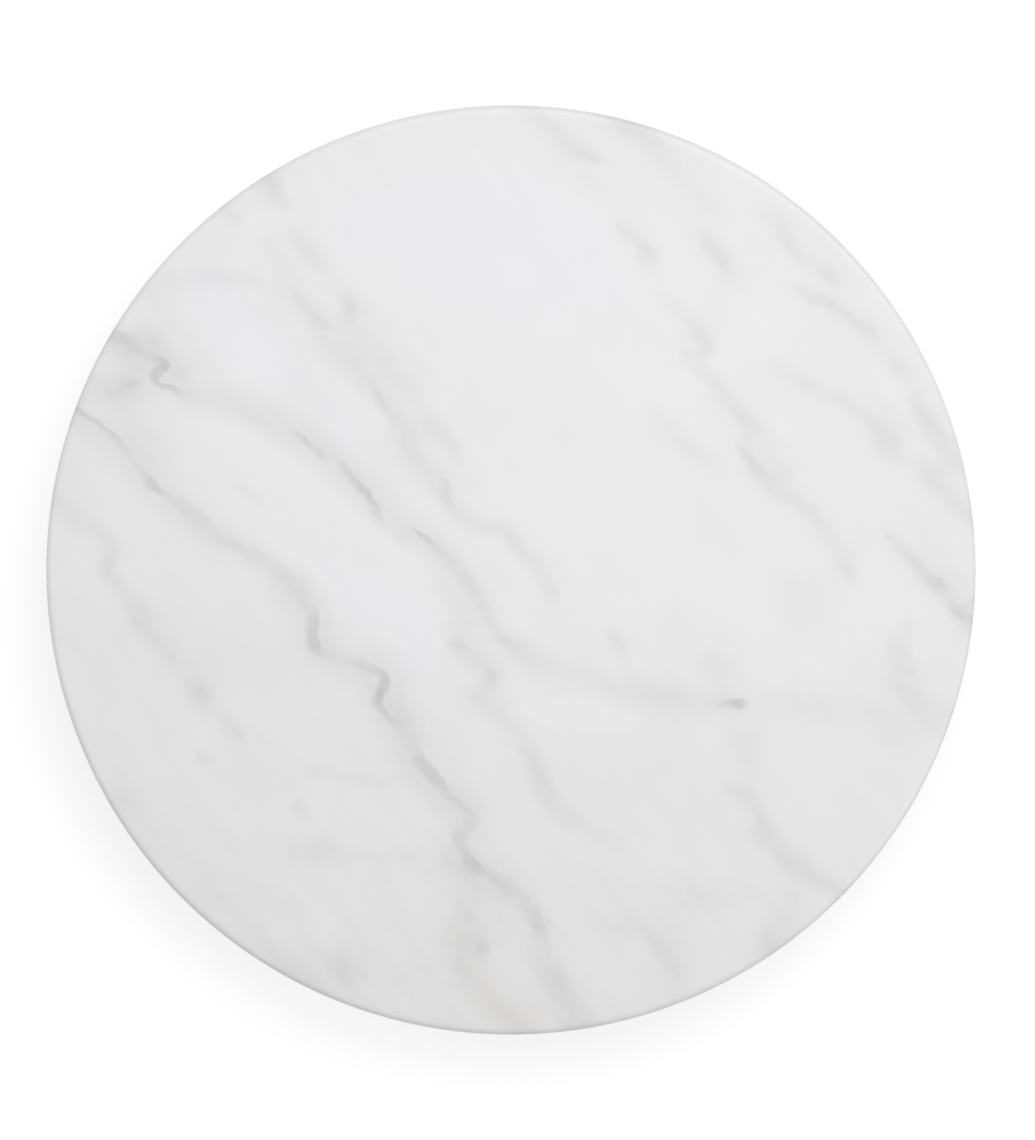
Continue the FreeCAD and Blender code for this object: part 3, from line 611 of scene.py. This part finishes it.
# %% Top face
def square_to_disc(a, b):
    """A square's (a, b), each from -1 to 1, pressed into a disc.

    The larger of the two is the radius. The angle is their ratio times 45 degrees, from the
    nearest axis.
    """
    wide = np.abs(a) > np.abs(b)
    radius = np.where(wide, a, b)
    safe = np.where(radius == 0, 1, radius)
    turn = math.pi / 4 * np.where(wide, b, a) / safe
    angle = np.where(wide, turn, math.pi / 2 - turn)
    return radius * np.cos(angle), radius * np.sin(angle)


def top_face():
    """The pressed grid's places, its quads, and the numbers of its rim vertices by angle."""
    side = np.linspace(-1, 1, GRID + 1)
    x, y = square_to_disc(*np.meshgrid(side, side, indexing="ij"))
    places = np.stack([x * FLAT_RADIUS, y * FLAT_RADIUS, np.full_like(x, SLAB_TOP)], axis=2)
    number = np.arange((GRID + 1) ** 2).reshape(GRID + 1, GRID + 1)
    quads = np.stack([number[:-1, :-1], number[1:, :-1], number[1:, 1:], number[:-1, 1:]], axis=2)
    rim = np.concatenate([number[-1, :-1], number[:0:-1, -1], number[0, :0:-1], number[:-1, 0]])
    return places.reshape(-1, 3), quads.reshape(-1, 4), rim


# %% [markdown]
# The stone's edges are eased, by a quarter round above and a smaller one below. A bevel
# modifier would number its vertices as it likes. Here they are placed by sine and cosine, so
# each ring carries on from the one before.


# %% Edge and wall
def edge_profile():
    """(radius, height) down the edge: a quarter round, a straight wall and a smaller quarter round.

    On each round the radius is its centre's plus the round times the sine, and the height its
    centre's plus or less the round times the cosine, of an angle from 0 to 90 degrees.
    """
    wall_top, wall_foot = SLAB_TOP - TOP_ROUND, SLAB_BOTTOM + BOTTOM_ROUND
    angle = np.linspace(0, math.pi / 2, TOP_STEPS + 1)[1:]
    upper = [FLAT_RADIUS + TOP_ROUND * np.sin(angle), wall_top + TOP_ROUND * np.cos(angle)]
    heights = np.linspace(wall_top, wall_foot, WALL_STEPS + 1)[1:]
    wall = [np.full_like(heights, SLAB_RADIUS), heights]
    angle = np.linspace(math.pi / 2, 0, BOTTOM_STEPS + 1)[1:]
    radii = SLAB_RADIUS - BOTTOM_ROUND + BOTTOM_ROUND * np.sin(angle)
    lower = [radii, wall_foot - BOTTOM_ROUND * np.cos(angle)]
    return np.hstack([upper, wall, lower]).T


def ring_places(radius_height, count):
    """Rings of equally spaced vertices, one ring for each (radius, height)."""
    angle = START_ANGLE + np.arange(count) * 2 * math.pi / count
    radius, height = radius_height[:, :1], radius_height[:, 1:]
    around = [radius * np.cos(angle), radius * np.sin(angle), height + 0 * angle]
    return np.stack(around, axis=2)


def ring_quads(rings):
    """Quads between each row of vertex numbers and the next, closed round, facing outwards."""
    upper, lower = rings[:-1], rings[1:]
    corners = [upper, lower, np.roll(lower, -1, 1), np.roll(upper, -1, 1)]
    return np.stack(corners, axis=2).reshape(-1, 4)


# %% [markdown]
# The underside is flat and hardly seen, so it is coarser. It has six blind holes for the
# threaded inserts. A boolean cut would leave long thin triangles around them. Instead each
# hole sits in a sixth of a ring, and rows of vertices lead from that sector's outline to the
# hole's circle and on up its wall.

# %% Underside
BAND_HALF = 14 * MM
INNER_BAND, OUTER_BAND = HOLE_CIRCLE - BAND_HALF, HOLE_CIRCLE + BAND_HALF
SIDE_STEPS, TOWARDS_HOLE, UP_HOLE = 8, 4, 4


def sector_rows(middle):
    """Rows of vertices from a sector's outline in to its hole and up the hole's wall.

    The outline goes round once: out arc, side, in arc, side. A row's place is outline x (1 - s) +
    circle x s, where the circle has as many points, equally spaced.
    """
    half = math.pi / HOLES
    sweep = np.linspace(-half, half, SECTOR + 1)
    down = np.linspace(OUTER_BAND, INNER_BAND, SIDE_STEPS + 1)
    radius = np.concatenate([np.full(SECTOR, OUTER_BAND), down[:-1],
                             np.full(SECTOR, INNER_BAND), down[:0:-1]])
    angle = middle + np.concatenate([sweep[:-1], np.full(SIDE_STEPS, half),
                                     sweep[:0:-1], np.full(SIDE_STEPS, -half)])
    outline = np.stack([radius * np.cos(angle), radius * np.sin(angle)], axis=1)
    centre = HOLE_CIRCLE * np.array([math.cos(middle), math.sin(middle)])
    around = middle + (np.arange(len(outline)) - SECTOR / 2) * 2 * math.pi / len(outline)
    circle = centre + HOLE_RADIUS * np.stack([np.cos(around), np.sin(around)], axis=1)
    s = np.linspace(0, 1, TOWARDS_HOLE + 1)[:, None, None]
    flat = outline * (1 - s) + circle * s
    rise = np.linspace(0, HOLE_DEPTH, UP_HOLE + 1)[1:]
    height = SLAB_BOTTOM + np.concatenate([np.zeros(TOWARDS_HOLE + 1), rise])
    places = np.concatenate([flat, np.repeat(circle[None], UP_HOLE, axis=0)])
    return np.dstack([places, np.broadcast_to(height[:, None], places.shape[:2])])


# %% [markdown]
# The slab grows from its face: over the round, down the wall, under the lower round, and in
# over the underside to the holes. A narrow fan of faces with four cells on one side and one on
# the other steps down from the fine rim to the coarse rings.

# %% The whole slab
COARSE_RINGS = 6
FAN_WIDTH = 2 * MM


def slab_mesh():
    """All the slab's places and faces, each with the part of the stone that it belongs to."""
    places, quads, rim = top_face()
    stock = [places]
    faces, part = [quads.tolist()], [np.full(len(quads), FACE)]
    count = len(places)

    def grow(rows, label, rings=None):
        """Adds rows of places, with quads between them and from the ring before them."""
        nonlocal count
        numbers = count + np.arange(rows.shape[0] * rows.shape[1]).reshape(rows.shape[:2])
        stock.append(rows.reshape(-1, 3))
        count += numbers.size
        rings = numbers if rings is None else np.vstack([rings, numbers])
        found = ring_quads(rings)
        faces.append(found.tolist())
        part.append(np.full(len(found), label))
        return numbers

    def close(corners):
        """Adds flat faces of the underside, each from a row of vertex numbers."""
        faces.append(corners[:, ::-1].tolist())
        part.append(np.full(len(corners), UNDER))

    profile = edge_profile()
    edge = grow(ring_places(profile[:TOP_STEPS], RIM), FACE, rim[None])
    wall = grow(ring_places(profile[TOP_STEPS:-BOTTOM_STEPS], RIM), WALL, edge[-1:])
    under = grow(ring_places(profile[-BOTTOM_STEPS:], RIM), UNDER, wall[-1:])

    radii = np.linspace(profile[-1, 0] - FAN_WIDTH, OUTER_BAND, COARSE_RINGS)
    flat = np.stack([radii, np.full_like(radii, SLAB_BOTTOM)], axis=1)
    coarse = grow(ring_places(flat, COARSE), UNDER)
    fine = under[-1].reshape(COARSE, RIM // COARSE)
    close(np.column_stack([fine, np.roll(fine[:, 0], -1), np.roll(coarse[0], -1), coarse[0]]))

    for hole in range(HOLES):
        rows = grow(sector_rows(hole * 2 * math.pi / HOLES), UNDER)
        close(rows[-1:])
    middle = grow(ring_places(np.array([[INNER_BAND, SLAB_BOTTOM]]), COARSE), UNDER)
    close(middle)
    return np.vstack(stock), [f for group in faces for f in group], np.concatenate(part)


# %% [markdown]
# Neighbouring parts were made with their own copies of the outline between them. Rounding
# every place to a fine cell finds the copies, and each set gets one number. The cells are
# shifted a little, so that round measures don't fall on a cell's border.

# %% Merging the copies
MERGE_CELL = 0.01 * MM
OFF_ROUND = 0.237


def merge_doubles(places, faces):
    """Gives vertices whose place / cell + shift rounds to the same whole numbers one number."""
    rounded = np.round(places / MERGE_CELL + OFF_ROUND).astype(int)
    _, first, same = np.unique(rounded, axis=0, return_index=True, return_inverse=True)
    same = same.ravel()
    return places[first], [same[face].tolist() for face in faces]


raw_places, raw_faces, face_part = slab_mesh()
slab_places, slab_faces = merge_doubles(raw_places, raw_faces)
slab = make_piece("veined_slab", slab_places, slab_faces)

# %% [markdown]
# A gap or a turned face would show as a dark line, so both are counted. The volume can be
# checked by hand: a disc of 305 by 16 mm holds 1169 ml, and the rounds and holes take a few.

# %% Is the slab closed, and does it face outwards?
import bmesh

check = bmesh.new()
check.from_mesh(slab.data)
open_edges = sum(not edge.is_manifold for edge in check.edges)
turned_edges = sum(edge.is_manifold and not edge.is_contiguous for edge in check.edges)
millilitres = check.calc_volume(signed=True) * 1e6
print(f"open edges {open_edges}, turned edges {turned_edges}, volume {millilitres:.1f} ml")
check.free()

# %% [markdown]
# Each vertex now gets its vein numbers. Stone is solid, so the veins also go down through it,
# at a slant: the place that is asked for slides a little with depth, and the pattern carries
# over the edge, down the wall and on to the underside. A painted shade is also added to the
# soft veins' number: the face darkens slowly towards the rim, most of all at the near edge,
# and painted light makes it paler towards the far right, where the key lamp stands.

# %% Vein numbers on the vertices
SLANT = (0.45, -0.3)
# Painted shade towards the rim, by sides, ends and turn, and painted light towards the far right.
SHADE_SIDES, SHADE_ENDS, SHADE_TURN = 2.9, 5.8, 2.6
PAINTED_LIGHT_RIGHT, PAINTED_LIGHT_FAR = 1.0, 2.2


def painted_rim_shade(x, y):
    """Painted shade towards the rim and painted light towards the far right: sides x^2 + ends y^2 +
    turn x y - right x - far y, with x and y in slab radii.
    """
    outwards = SHADE_SIDES * x**2 + SHADE_ENDS * y**2 + SHADE_TURN * x * y
    return outwards - PAINTED_LIGHT_RIGHT * x - PAINTED_LIGHT_FAR * y


depth_down = (SLAB_TOP - slab_places[:, 2]) / MM
stone = slab_places[:, :2] / MM + depth_down[:, None] * np.array(SLANT)
wandered = tremble(stone, amount=0.8, size=6, seed=5)
bands = {"vein_soft_and_shade": SOFT, "vein_clear": CLEAR, "vein_warm": WARM, "vein_cool": COOL}
vein_numbers = {name: soft_field(strokes, wandered) for name, strokes in bands.items()}
# Painted shade and painted light, added to the soft veins' number.
vein_numbers["vein_soft_and_shade"] += painted_rim_shade(*(stone / (SLAB_RADIUS / MM)).T)
gap, seam = sharp_field(SHARP, tremble(stone, amount=0.4, size=3, seed=9))
vein_numbers.update(vein_gap=gap, vein_seam=seam)
for name, values in vein_numbers.items():
    attribute = slab.data.attributes.new(name, "FLOAT", "POINT")
    attribute.data.foreach_set("value", values.astype(np.float32))
    print(f"{name}: {values.min():.1f} to {values.max():.1f}")

# %% [markdown]
# The exported model keeps the marble as an image, laid out by a UV map. An automatic layout
# gives the top and the hidden underside the same room. This one gives the top three quarters
# of the width, stands the wall beside it in three strips, and puts the underside small in a
# corner. Nothing may overlap or have no width, so the edge rounds are unrolled and each hole's
# wall narrows towards its end.

# %% Map for baking
TOP_WIDTH, UNDER_WIDTH = 0.76, 0.215
STRIPS, STRIP_START, STRIP_PITCH = 3, 0.785, 0.045
MARGIN = 0.006
HOLE_DRAW = 0.6
TINY = 1e-7


def disc_map(x, y, height, curve, width, corner):
    """Lays a disc with its edge round unrolled into a square of a width at a corner.

    The way from the axis is the flat's radius + curve x the angle over the round, whose centre
    the height is measured from.
    """
    radius, flat = np.hypot(x, y), SLAB_RADIUS - curve
    over = np.arctan2(np.maximum(radius - flat, 0), height)
    way = np.minimum(radius, flat) + curve * np.where(radius > flat + TINY, over, 0)
    scale = width / 2 * way / (flat + curve * math.pi / 2)
    turn = np.arctan2(y, x)
    from_middle = np.stack([scale * np.cos(turn), scale * np.sin(turn)], axis=1)
    return np.array(corner) + width / 2 + from_middle


def in_hole(x, y, z):
    """The same place, drawn in towards its hole's centre by draw x height / depth of the way."""
    sector = 2 * math.pi / HOLES
    turn = np.round(np.arctan2(y, x) / sector) * sector
    inside = (z > SLAB_BOTTOM + TINY) & (np.hypot(x, y) < OUTER_BAND)
    keep = np.where(inside, 1 - HOLE_DRAW * (z - SLAB_BOTTOM) / HOLE_DEPTH, 1)
    centre_x, centre_y = HOLE_CIRCLE * np.cos(turn), HOLE_CIRCLE * np.sin(turn)
    return centre_x + (x - centre_x) * keep, centre_y + (y - centre_y) * keep


def bake_map(mesh, part):
    """A (u, v) for each corner of each face, by the part of the stone that the face belongs to."""
    corner_vertex = np.empty(len(mesh.loops), int)
    mesh.loops.foreach_get("vertex_index", corner_vertex)
    sides = np.empty(len(mesh.polygons), int)
    mesh.polygons.foreach_get("loop_total", sides)
    face = np.repeat(np.arange(len(sides)), sides)
    x, y, z = slab_places[corner_vertex].T

    height = z - (SLAB_TOP - TOP_ROUND)
    on_face = disc_map(x, y, height, TOP_ROUND, TOP_WIDTH, (MARGIN, MARGIN))
    height = SLAB_BOTTOM + BOTTOM_ROUND - z
    above_face = (MARGIN, TOP_WIDTH + 2 * MARGIN)
    on_under = disc_map(*in_hole(x, y, z), height, BOTTOM_ROUND, UNDER_WIDTH, above_face)

    angle = np.arctan2(y, x)
    first = angle[np.concatenate([[0], np.cumsum(sides)[:-1]])][face]
    angle = first + (angle - first + math.pi) % (2 * math.pi) - math.pi
    span = 2 * math.pi / STRIPS
    middle = np.bincount(face, angle)[face] / sides[face]
    strip = np.floor(middle / span)
    per_metre = TOP_WIDTH / 2 / (FLAT_RADIUS + TOP_ROUND * math.pi / 2)
    wall_u = STRIP_START + (strip % STRIPS) * STRIP_PITCH + (z - SLAB_BOTTOM) * per_metre
    wall_v = MARGIN + (angle - strip * span) * SLAB_RADIUS * per_metre
    on_wall = np.stack([wall_u, wall_v], axis=1)
    label = part[face, None]
    return np.select([label == FACE, label == WALL], [on_face, on_wall], on_under)


uv_places = bake_map(slab.data, face_part)
slab.data.uv_layers.new(name="OFBake").data.foreach_set("uv", uv_places.astype(np.float32).ravel())
print(f"map: from {uv_places.min():.3f} to {uv_places.max():.3f}")

# %% [markdown]
# ## The marble
#
# Steps out of 255 are turned into shares of the way from white to vein grey. The noise in the
# material is finer than the mesh: it frays the seams' edges, breaks their depth along the way,
# drags faint streaks along the grain, and adds the sugar-like sparkle of the crystals. The
# face is polished, a little less so in the veins, whose mineral is softer.

# %% Marble material
GRAIN_ANGLE = -48
MARBLE_WHITE = (0.831, 0.831, 0.832, 1)
COOL_WHITE = (0.836, 0.830, 0.854, 1)
VEIN_GREY = (0.528, 0.528, 0.538, 1)
WARM_STAIN = (0.72, 0.66, 0.56, 1)
FULL_VEIN, FULL_COOL, FULL_STAIN = 36.0, 10.0, 30.0
STREAKS, CRUMBS, BREAKS = (0.84, 1.16), (0.93, 1.07), (0.6, 0.95)
FRAY, CRISP_SIDE, SMOKY_SIDE = (-0.65, 0.65), (0.7, 1.7), (-2.8, -0.5)
CLOUDS, DRIFT, CRYSTALS = (-2, 2), (-2, 3), (-1.2, 1.2)
POLISH, VEIN_DULLING, GLARE = (0.26, 0.36), 0.15, 0.4


def vein_number(tree, name):
    """One of the numbers kept on the slab's vertices."""
    return add(tree, "ShaderNodeAttribute", attribute_name=name).outputs["Fac"]


def marble():
    """White stone, darkened by its depth / the full depth of a vein.

    The depth is soft x streaks x crumbs + seam x its two sides x breaks + clouds + drift +
    crystals - clear. The soft number also holds painted shade towards the rim and painted light
    towards the far right.
    """
    material, tree, shader = new_material("polished_marble")
    plain = stone_place(tree)
    along_grain = stone_place(tree, GRAIN_ANGLE, (4, 1, 1))

    streaks = ramp(tree, noise(tree, along_grain, 6), *NOISE_SPAN, *STREAKS)
    crumbs = ramp(tree, noise(tree, plain, 3.2), *NOISE_SPAN, *CRUMBS)
    # The soft number carries painted shade and painted light as well as the smoky bands.
    soft_and_shade_part = combine(tree, "MULTIPLY", streaks, crumbs, vein_number(tree, "vein_soft_and_shade"))

    fray = spread(tree, noise(tree, plain, 2.2, rough=0.45), *FRAY)
    frayed = calc(tree, "ADD", vein_number(tree, "vein_gap"), fray)
    crisp = ramp(tree, frayed, *CRISP_SIDE, 1.0, 0.0)
    smoky = ramp(tree, frayed, *SMOKY_SIDE, 0.0, 1.0)
    breaks = ramp(tree, noise(tree, plain, 7), 0.3, 0.6, *BREAKS)
    seam_part = combine(tree, "MULTIPLY", crisp, smoky, vein_number(tree, "vein_seam"), breaks)

    clouds = spread(tree, noise(tree, along_grain, 14, detail=3), *CLOUDS)
    drift = spread(tree, noise(tree, plain, 30, detail=3), *DRIFT)
    crystals = spread(tree, noise(tree, plain, 0.7, rough=0.7), *CRYSTALS)
    depth = combine(tree, "ADD", soft_and_shade_part, seam_part, clouds, drift, crystals)
    depth = calc(tree, "SUBTRACT", depth, vein_number(tree, "vein_clear"))

    share = calc(tree, "DIVIDE", depth, FULL_VEIN, clamp=True)
    coolness = calc(tree, "DIVIDE", vein_number(tree, "vein_cool"), FULL_COOL, clamp=True)
    stain = calc(tree, "DIVIDE", vein_number(tree, "vein_warm"), FULL_STAIN, clamp=True)
    ground = mix_colour(tree, coolness, MARBLE_WHITE, COOL_WHITE)
    veined = mix_colour(tree, share, ground, VEIN_GREY)
    colour = mix_colour(tree, stain, veined, WARM_STAIN)

    feed(tree, shader.inputs["Specular IOR Level"], GLARE)
    sheen = spread(tree, noise(tree, plain, 9, detail=3), *POLISH)
    roughness = calc(tree, "MULTIPLY_ADD", share, VEIN_DULLING, sheen)
    dress(tree, shader, colour, roughness, crystals, depth_mm=0.004, strength=0.4)
    return material


slab.data.materials.append(marble())
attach(slab, "turntable")
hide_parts("marble_slab")

# %% [markdown]
# ## Metal, rubber and nylon
#
# The bearing, base and feet keep their CAD shapes, which are already right, and get finishes.
# A lathe leaves fine rings, so a turned face varies with its distance from the axis, and a
# turned wall with its height. One noise along the sum of the two does for both.


# %% Turned metal
def ring_noise(tree, pitch_mm):
    """Noise along sqrt(x^2 + y^2) + z, so it runs in rings on faces and walls."""
    parts = add(tree, "ShaderNodeSeparateXYZ")
    feed(tree, parts.inputs["Vector"], add(tree, "ShaderNodeTexCoord").outputs["Object"])
    squares = [calc(tree, "POWER", parts.outputs[axis], 2.0) for axis in "XY"]
    across = calc(tree, "SQRT", calc(tree, "ADD", *squares))
    node = add(tree, "ShaderNodeTexNoise", noise_dimensions="1D")
    feed(tree, node.inputs["W"], calc(tree, "ADD", across, parts.outputs["Z"]))
    feed(tree, node.inputs["Scale"], 1 / (pitch_mm * MM))
    feed(tree, node.inputs["Detail"], 3)
    return node.outputs["Fac"]


def turned_metal(name, light, dark, rough, pitch_mm, ring_depth_mm):
    """Satin metal: colour and roughness follow the lathe's rings, with a slower cloud of wear."""
    material, tree, shader = new_material(name, metallic=1)
    rings = ring_noise(tree, pitch_mm)
    wear = noise(tree, stone_place(tree), 14, detail=4, rough=0.6)
    share = calc(tree, "MULTIPLY_ADD", rings, 0.5, calc(tree, "MULTIPLY", wear, 0.5))
    colour = mix_colour(tree, ramp(tree, share, *NOISE_SPAN), light, dark)
    ring_gloss = spread(tree, rings, rough - 0.12, rough + 0.04)
    roughness = calc(tree, "MULTIPLY_ADD", wear, 0.10, ring_gloss)
    dress(tree, shader, colour, roughness, rings, ring_depth_mm, strength=0.6)
    return material


turned_aluminium = turned_metal(
    "turned_aluminium", (0.79, 0.795, 0.80, 1), (0.68, 0.685, 0.70, 1),
    rough=0.34, pitch_mm=0.30, ring_depth_mm=0.010,
)
race_aluminium = turned_metal(
    "ground_aluminium", (0.77, 0.775, 0.785, 1), (0.66, 0.665, 0.68, 1),
    rough=0.26, pitch_mm=0.18, ring_depth_mm=0.005,
)
turned_brass = turned_metal(
    "turned_brass", (0.80, 0.63, 0.33, 1), (0.62, 0.44, 0.18, 1),
    rough=0.30, pitch_mm=0.25, ring_depth_mm=0.010,
)

# %% [markdown]
# The base plate was blasted with glass beads and anodised, which leaves thousands of tiny
# dents and no direction. Zinc plating is thin and changes a little in tint from place to
# place. The balls are polished, with a haze of hair-fine scratches.


# %% Blasted, plated and polished metal
def blasted_aluminium():
    """Anodised metal with a fine even pebble and faint finger marks in the roughness."""
    material, tree, shader = new_material("blasted_aluminium", metallic=1)
    plain = stone_place(tree)
    dents = noise(tree, plain, 0.45, rough=0.6)
    marks = noise(tree, plain, 22, detail=4, rough=0.65)
    both = calc(tree, "MULTIPLY_ADD", dents, 0.4, calc(tree, "MULTIPLY", marks, 0.6))
    tone = ramp(tree, both, *NOISE_SPAN)
    colour = mix_colour(tree, tone, (0.66, 0.665, 0.675, 1), (0.74, 0.745, 0.755, 1))
    roughness = spread(tree, marks, 0.40, 0.56)
    dress(tree, shader, colour, roughness, dents, depth_mm=0.03, strength=0.7)
    return material


def zinc_steel():
    """Bright plating whose tint drifts from cool to faintly straw-coloured."""
    material, tree, shader = new_material("zinc_steel", metallic=1)
    plain = stone_place(tree)
    tint = ramp(tree, noise(tree, plain, 5, detail=3), 0.35, 0.65)
    colour = mix_colour(tree, tint, (0.58, 0.60, 0.63, 1), (0.62, 0.615, 0.59, 1))
    grain = noise(tree, plain, 0.35, detail=3)
    roughness = spread(tree, grain, 0.20, 0.42)
    dress(tree, shader, colour, roughness, grain, depth_mm=0.008, strength=0.5)
    return material


def bearing_steel():
    """Polished steel, with fine scratches that only the roughness shows."""
    material, tree, shader = new_material("bearing_steel", metallic=1)
    scratches = noise(tree, stone_place(tree, 30, (6, 0.25, 1)), 1.0, detail=4, rough=0.7)
    haze = noise(tree, stone_place(tree), 2.5)
    colour = mix_colour(tree, haze, (0.74, 0.745, 0.76, 1), (0.80, 0.80, 0.81, 1))
    roughness = ramp(tree, scratches, 0.45, 0.75, 0.07, 0.22)
    dress(tree, shader, colour, roughness, scratches, depth_mm=0.001, strength=0.3)
    return material


# %% [markdown]
# Rubber is never quite black or quite even: it holds a little dust and bloom, paler where it
# has been touched. The same recipe does for the smooth gasket and the rougher moulded feet.


# %% Rubber and nylon
def rubber(name, dark, bloom, grain_mm, grain_depth_mm, rough):
    """Dark rubber with a paler bloom in clouds and a fine grain."""
    material, tree, shader = new_material(name)
    plain = stone_place(tree)
    grain = noise(tree, plain, grain_mm, detail=3, rough=0.6)
    cloud = noise(tree, plain, 9, detail=4, rough=0.6)
    patches = ramp(tree, cloud, 0.35, 0.75)
    dusty = calc(tree, "MULTIPLY", patches, ramp(tree, grain, *NOISE_SPAN, 0.6, 1.0))
    colour = mix_colour(tree, dusty, dark, bloom)
    roughness = spread(tree, dusty, rough, rough + 0.14)
    dress(tree, shader, colour, roughness, grain, grain_depth_mm, strength=0.7)
    return material


def nylon_strip():
    """Natural nylon: cream, faintly cloudy, with the soft sheen of a moulded strip."""
    material, tree, shader = new_material("natural_nylon")
    plain = stone_place(tree)
    cloud = ramp(tree, noise(tree, plain, 6, detail=3), *NOISE_SPAN)
    grain = noise(tree, plain, 0.5)
    colour = mix_colour(tree, cloud, (0.76, 0.73, 0.65, 1), (0.82, 0.80, 0.74, 1))
    roughness = spread(tree, grain, 0.36, 0.52)
    dress(tree, shader, colour, roughness, grain, depth_mm=0.01, strength=0.5)
    return material


gasket_rubber = rubber(
    "gasket_rubber", (0.030, 0.030, 0.032, 1), (0.062, 0.061, 0.060, 1),
    grain_mm=0.7, grain_depth_mm=0.010, rough=0.55,
)
foot_rubber = rubber(
    "foot_rubber", (0.024, 0.024, 0.026, 1), (0.058, 0.057, 0.055, 1),
    grain_mm=0.35, grain_depth_mm=0.030, rough=0.70,
)

# %% [markdown]
# Balls and feet are many nodes of one family, told apart by a number. It comes off the name
# before the finish is looked up, so one line here does for all of them.

# %% Which node has which finish
FINISHES = {
    "slab_gasket": gasket_rubber,
    "outer_ring": turned_aluminium,
    "inner_race_lower": race_aluminium,
    "inner_race_upper": race_aluminium,
    "base_plate": blasted_aluminium(),
    "ring_screws": zinc_steel(),
    "threaded_inserts": turned_brass,
    "ball_cage": nylon_strip(),
    "bearing_ball": bearing_steel(),
    "rubber_foot": foot_rubber,
}
FINISHES["clamp_screws"] = FINISHES["ring_screws"]
finished = 0
for name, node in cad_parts.items():
    family = name.rstrip("0123456789_")
    if family in FINISHES:
        finished += 1
        for place in node.material_slots:
            place.material = FINISHES[family]
print("finished", finished, "of", len(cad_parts), "CAD nodes; the slab has its own piece")

# %% [markdown]
# ## Floor, background and light
#
# A plain pale floor and a white surround. The floor is a grey card to the light, so that it
# throws little back, and it adds its own white only where a camera, a mirror or glass looks at
# it. Its shadow under the slab stays. The lamps' light falls off along the floor, so the glow
# rises a little with distance to make up for it.

# %% Floor
FLOOR_SIZE = 12.0
FLOOR_CARD = (0.40, 0.40, 0.40, 1)
NEAR_GLOW, FAR_GLOW = 0.69, 0.80
GLOW_FROM, GLOW_TO = 0.35, 1.2


def seen_share(tree):
    """1 for a camera, glossy or transmission ray, and 0 for the light that falls on things."""
    path = add(tree, "ShaderNodeLightPath")
    seen = calc(tree, "ADD", path.outputs["Is Camera Ray"], path.outputs["Is Glossy Ray"])
    return calc(tree, "ADD", seen, path.outputs["Is Transmission Ray"], clamp=True)


def floor_material():
    """Diffuse grey plus a white glow that only seeing rays meet."""
    material, tree, shader = new_material("pale_floor")
    tree.nodes.remove(shader)
    card = add(tree, "ShaderNodeBsdfDiffuse")
    feed(tree, card.inputs["Color"], FLOOR_CARD)
    glow = add(tree, "ShaderNodeEmission")
    feed(tree, glow.inputs["Color"], (1, 1, 1, 1))
    away = add(tree, "ShaderNodeVectorMath", operation="LENGTH")
    feed(tree, away.inputs["Vector"], add(tree, "ShaderNodeTexCoord").outputs["Object"])
    level = ramp(tree, away.outputs["Value"], GLOW_FROM, GLOW_TO, NEAR_GLOW, FAR_GLOW)
    feed(tree, glow.inputs["Strength"], calc(tree, "MULTIPLY", seen_share(tree), level))
    both = add(tree, "ShaderNodeAddShader")
    feed(tree, both.inputs[0], card.outputs["BSDF"])
    feed(tree, both.inputs[1], glow.outputs["Emission"])
    feed(tree, tree.nodes["Material Output"].inputs["Surface"], both.outputs["Shader"])
    return material


half_floor = FLOOR_SIZE / 2
floor_places = np.array([[-1, -1, 0], [1, -1, 0], [1, 1, 0], [-1, 1, 0]]) * half_floor
floor = make_piece("floor", floor_places, [[0, 1, 2, 3]])
floor.data.materials.append(floor_material())

# %% [markdown]
# The surround is full white to a camera or a mirror, and sends a share of that as light. It
# reaches the stone from every side, so the shade under the edge stays soft.

# %% Surround
SURROUND_FILL = 0.615

world = bpy.data.worlds.new("surround")
bpy.context.scene.world = world
world.use_nodes = True
surround = world.node_tree
background = surround.nodes["Background"]
feed(surround, background.inputs["Color"], (1, 1, 1, 1))
strength = spread(surround, seen_share(surround), SURROUND_FILL, 1)
feed(surround, background.inputs["Strength"], strength)

# %% [markdown]
# Three soft lamps. The key lamp stands high beyond the slab, a little to the right, so the far
# side is brighter. Two weaker ones stand low at the right and the left and reach the wall, so
# the rounded edge goes dark only at the near left. All are large, for soft shadows, and far
# enough aside that the polished face doesn't mirror them into the camera.


# %% Lamps
def soft_lamp(name, turn, rise, distance, size, watts):
    """A square area lamp aimed at the slab, from an azimuth and an elevation in degrees."""
    data = bpy.data.lights.new(name, "AREA")
    data.shape = "SQUARE"
    data.size = size
    data.energy = watts
    lamp = bpy.data.objects.new(name, data)
    a, e = math.radians(turn), math.radians(rise)
    away = distance * math.cos(e)
    height = SLAB_TOP + distance * math.sin(e)
    lamp.location = (away * math.cos(a), away * math.sin(a), height)
    lamp.rotation_mode = "QUATERNION"
    lamp.rotation_quaternion = lamp.location.to_track_quat("Z", "Y")
    bpy.context.scene.collection.objects.link(lamp)


soft_lamp("key_lamp", turn=66, rise=55, distance=1.35, size=0.95, watts=6.3)
soft_lamp("right_lamp", turn=-28, rise=32, distance=1.6, size=0.8, watts=3.5)
soft_lamp("left_lamp", turn=163, rise=30, distance=1.6, size=0.8, watts=2.2)

# %% [markdown]
# A film-like view would pull the bright marble and the white floor together. The standard view
# keeps the few steps between them.

# %% Picture settings
bpy.context.scene.view_settings.view_transform = "Standard"
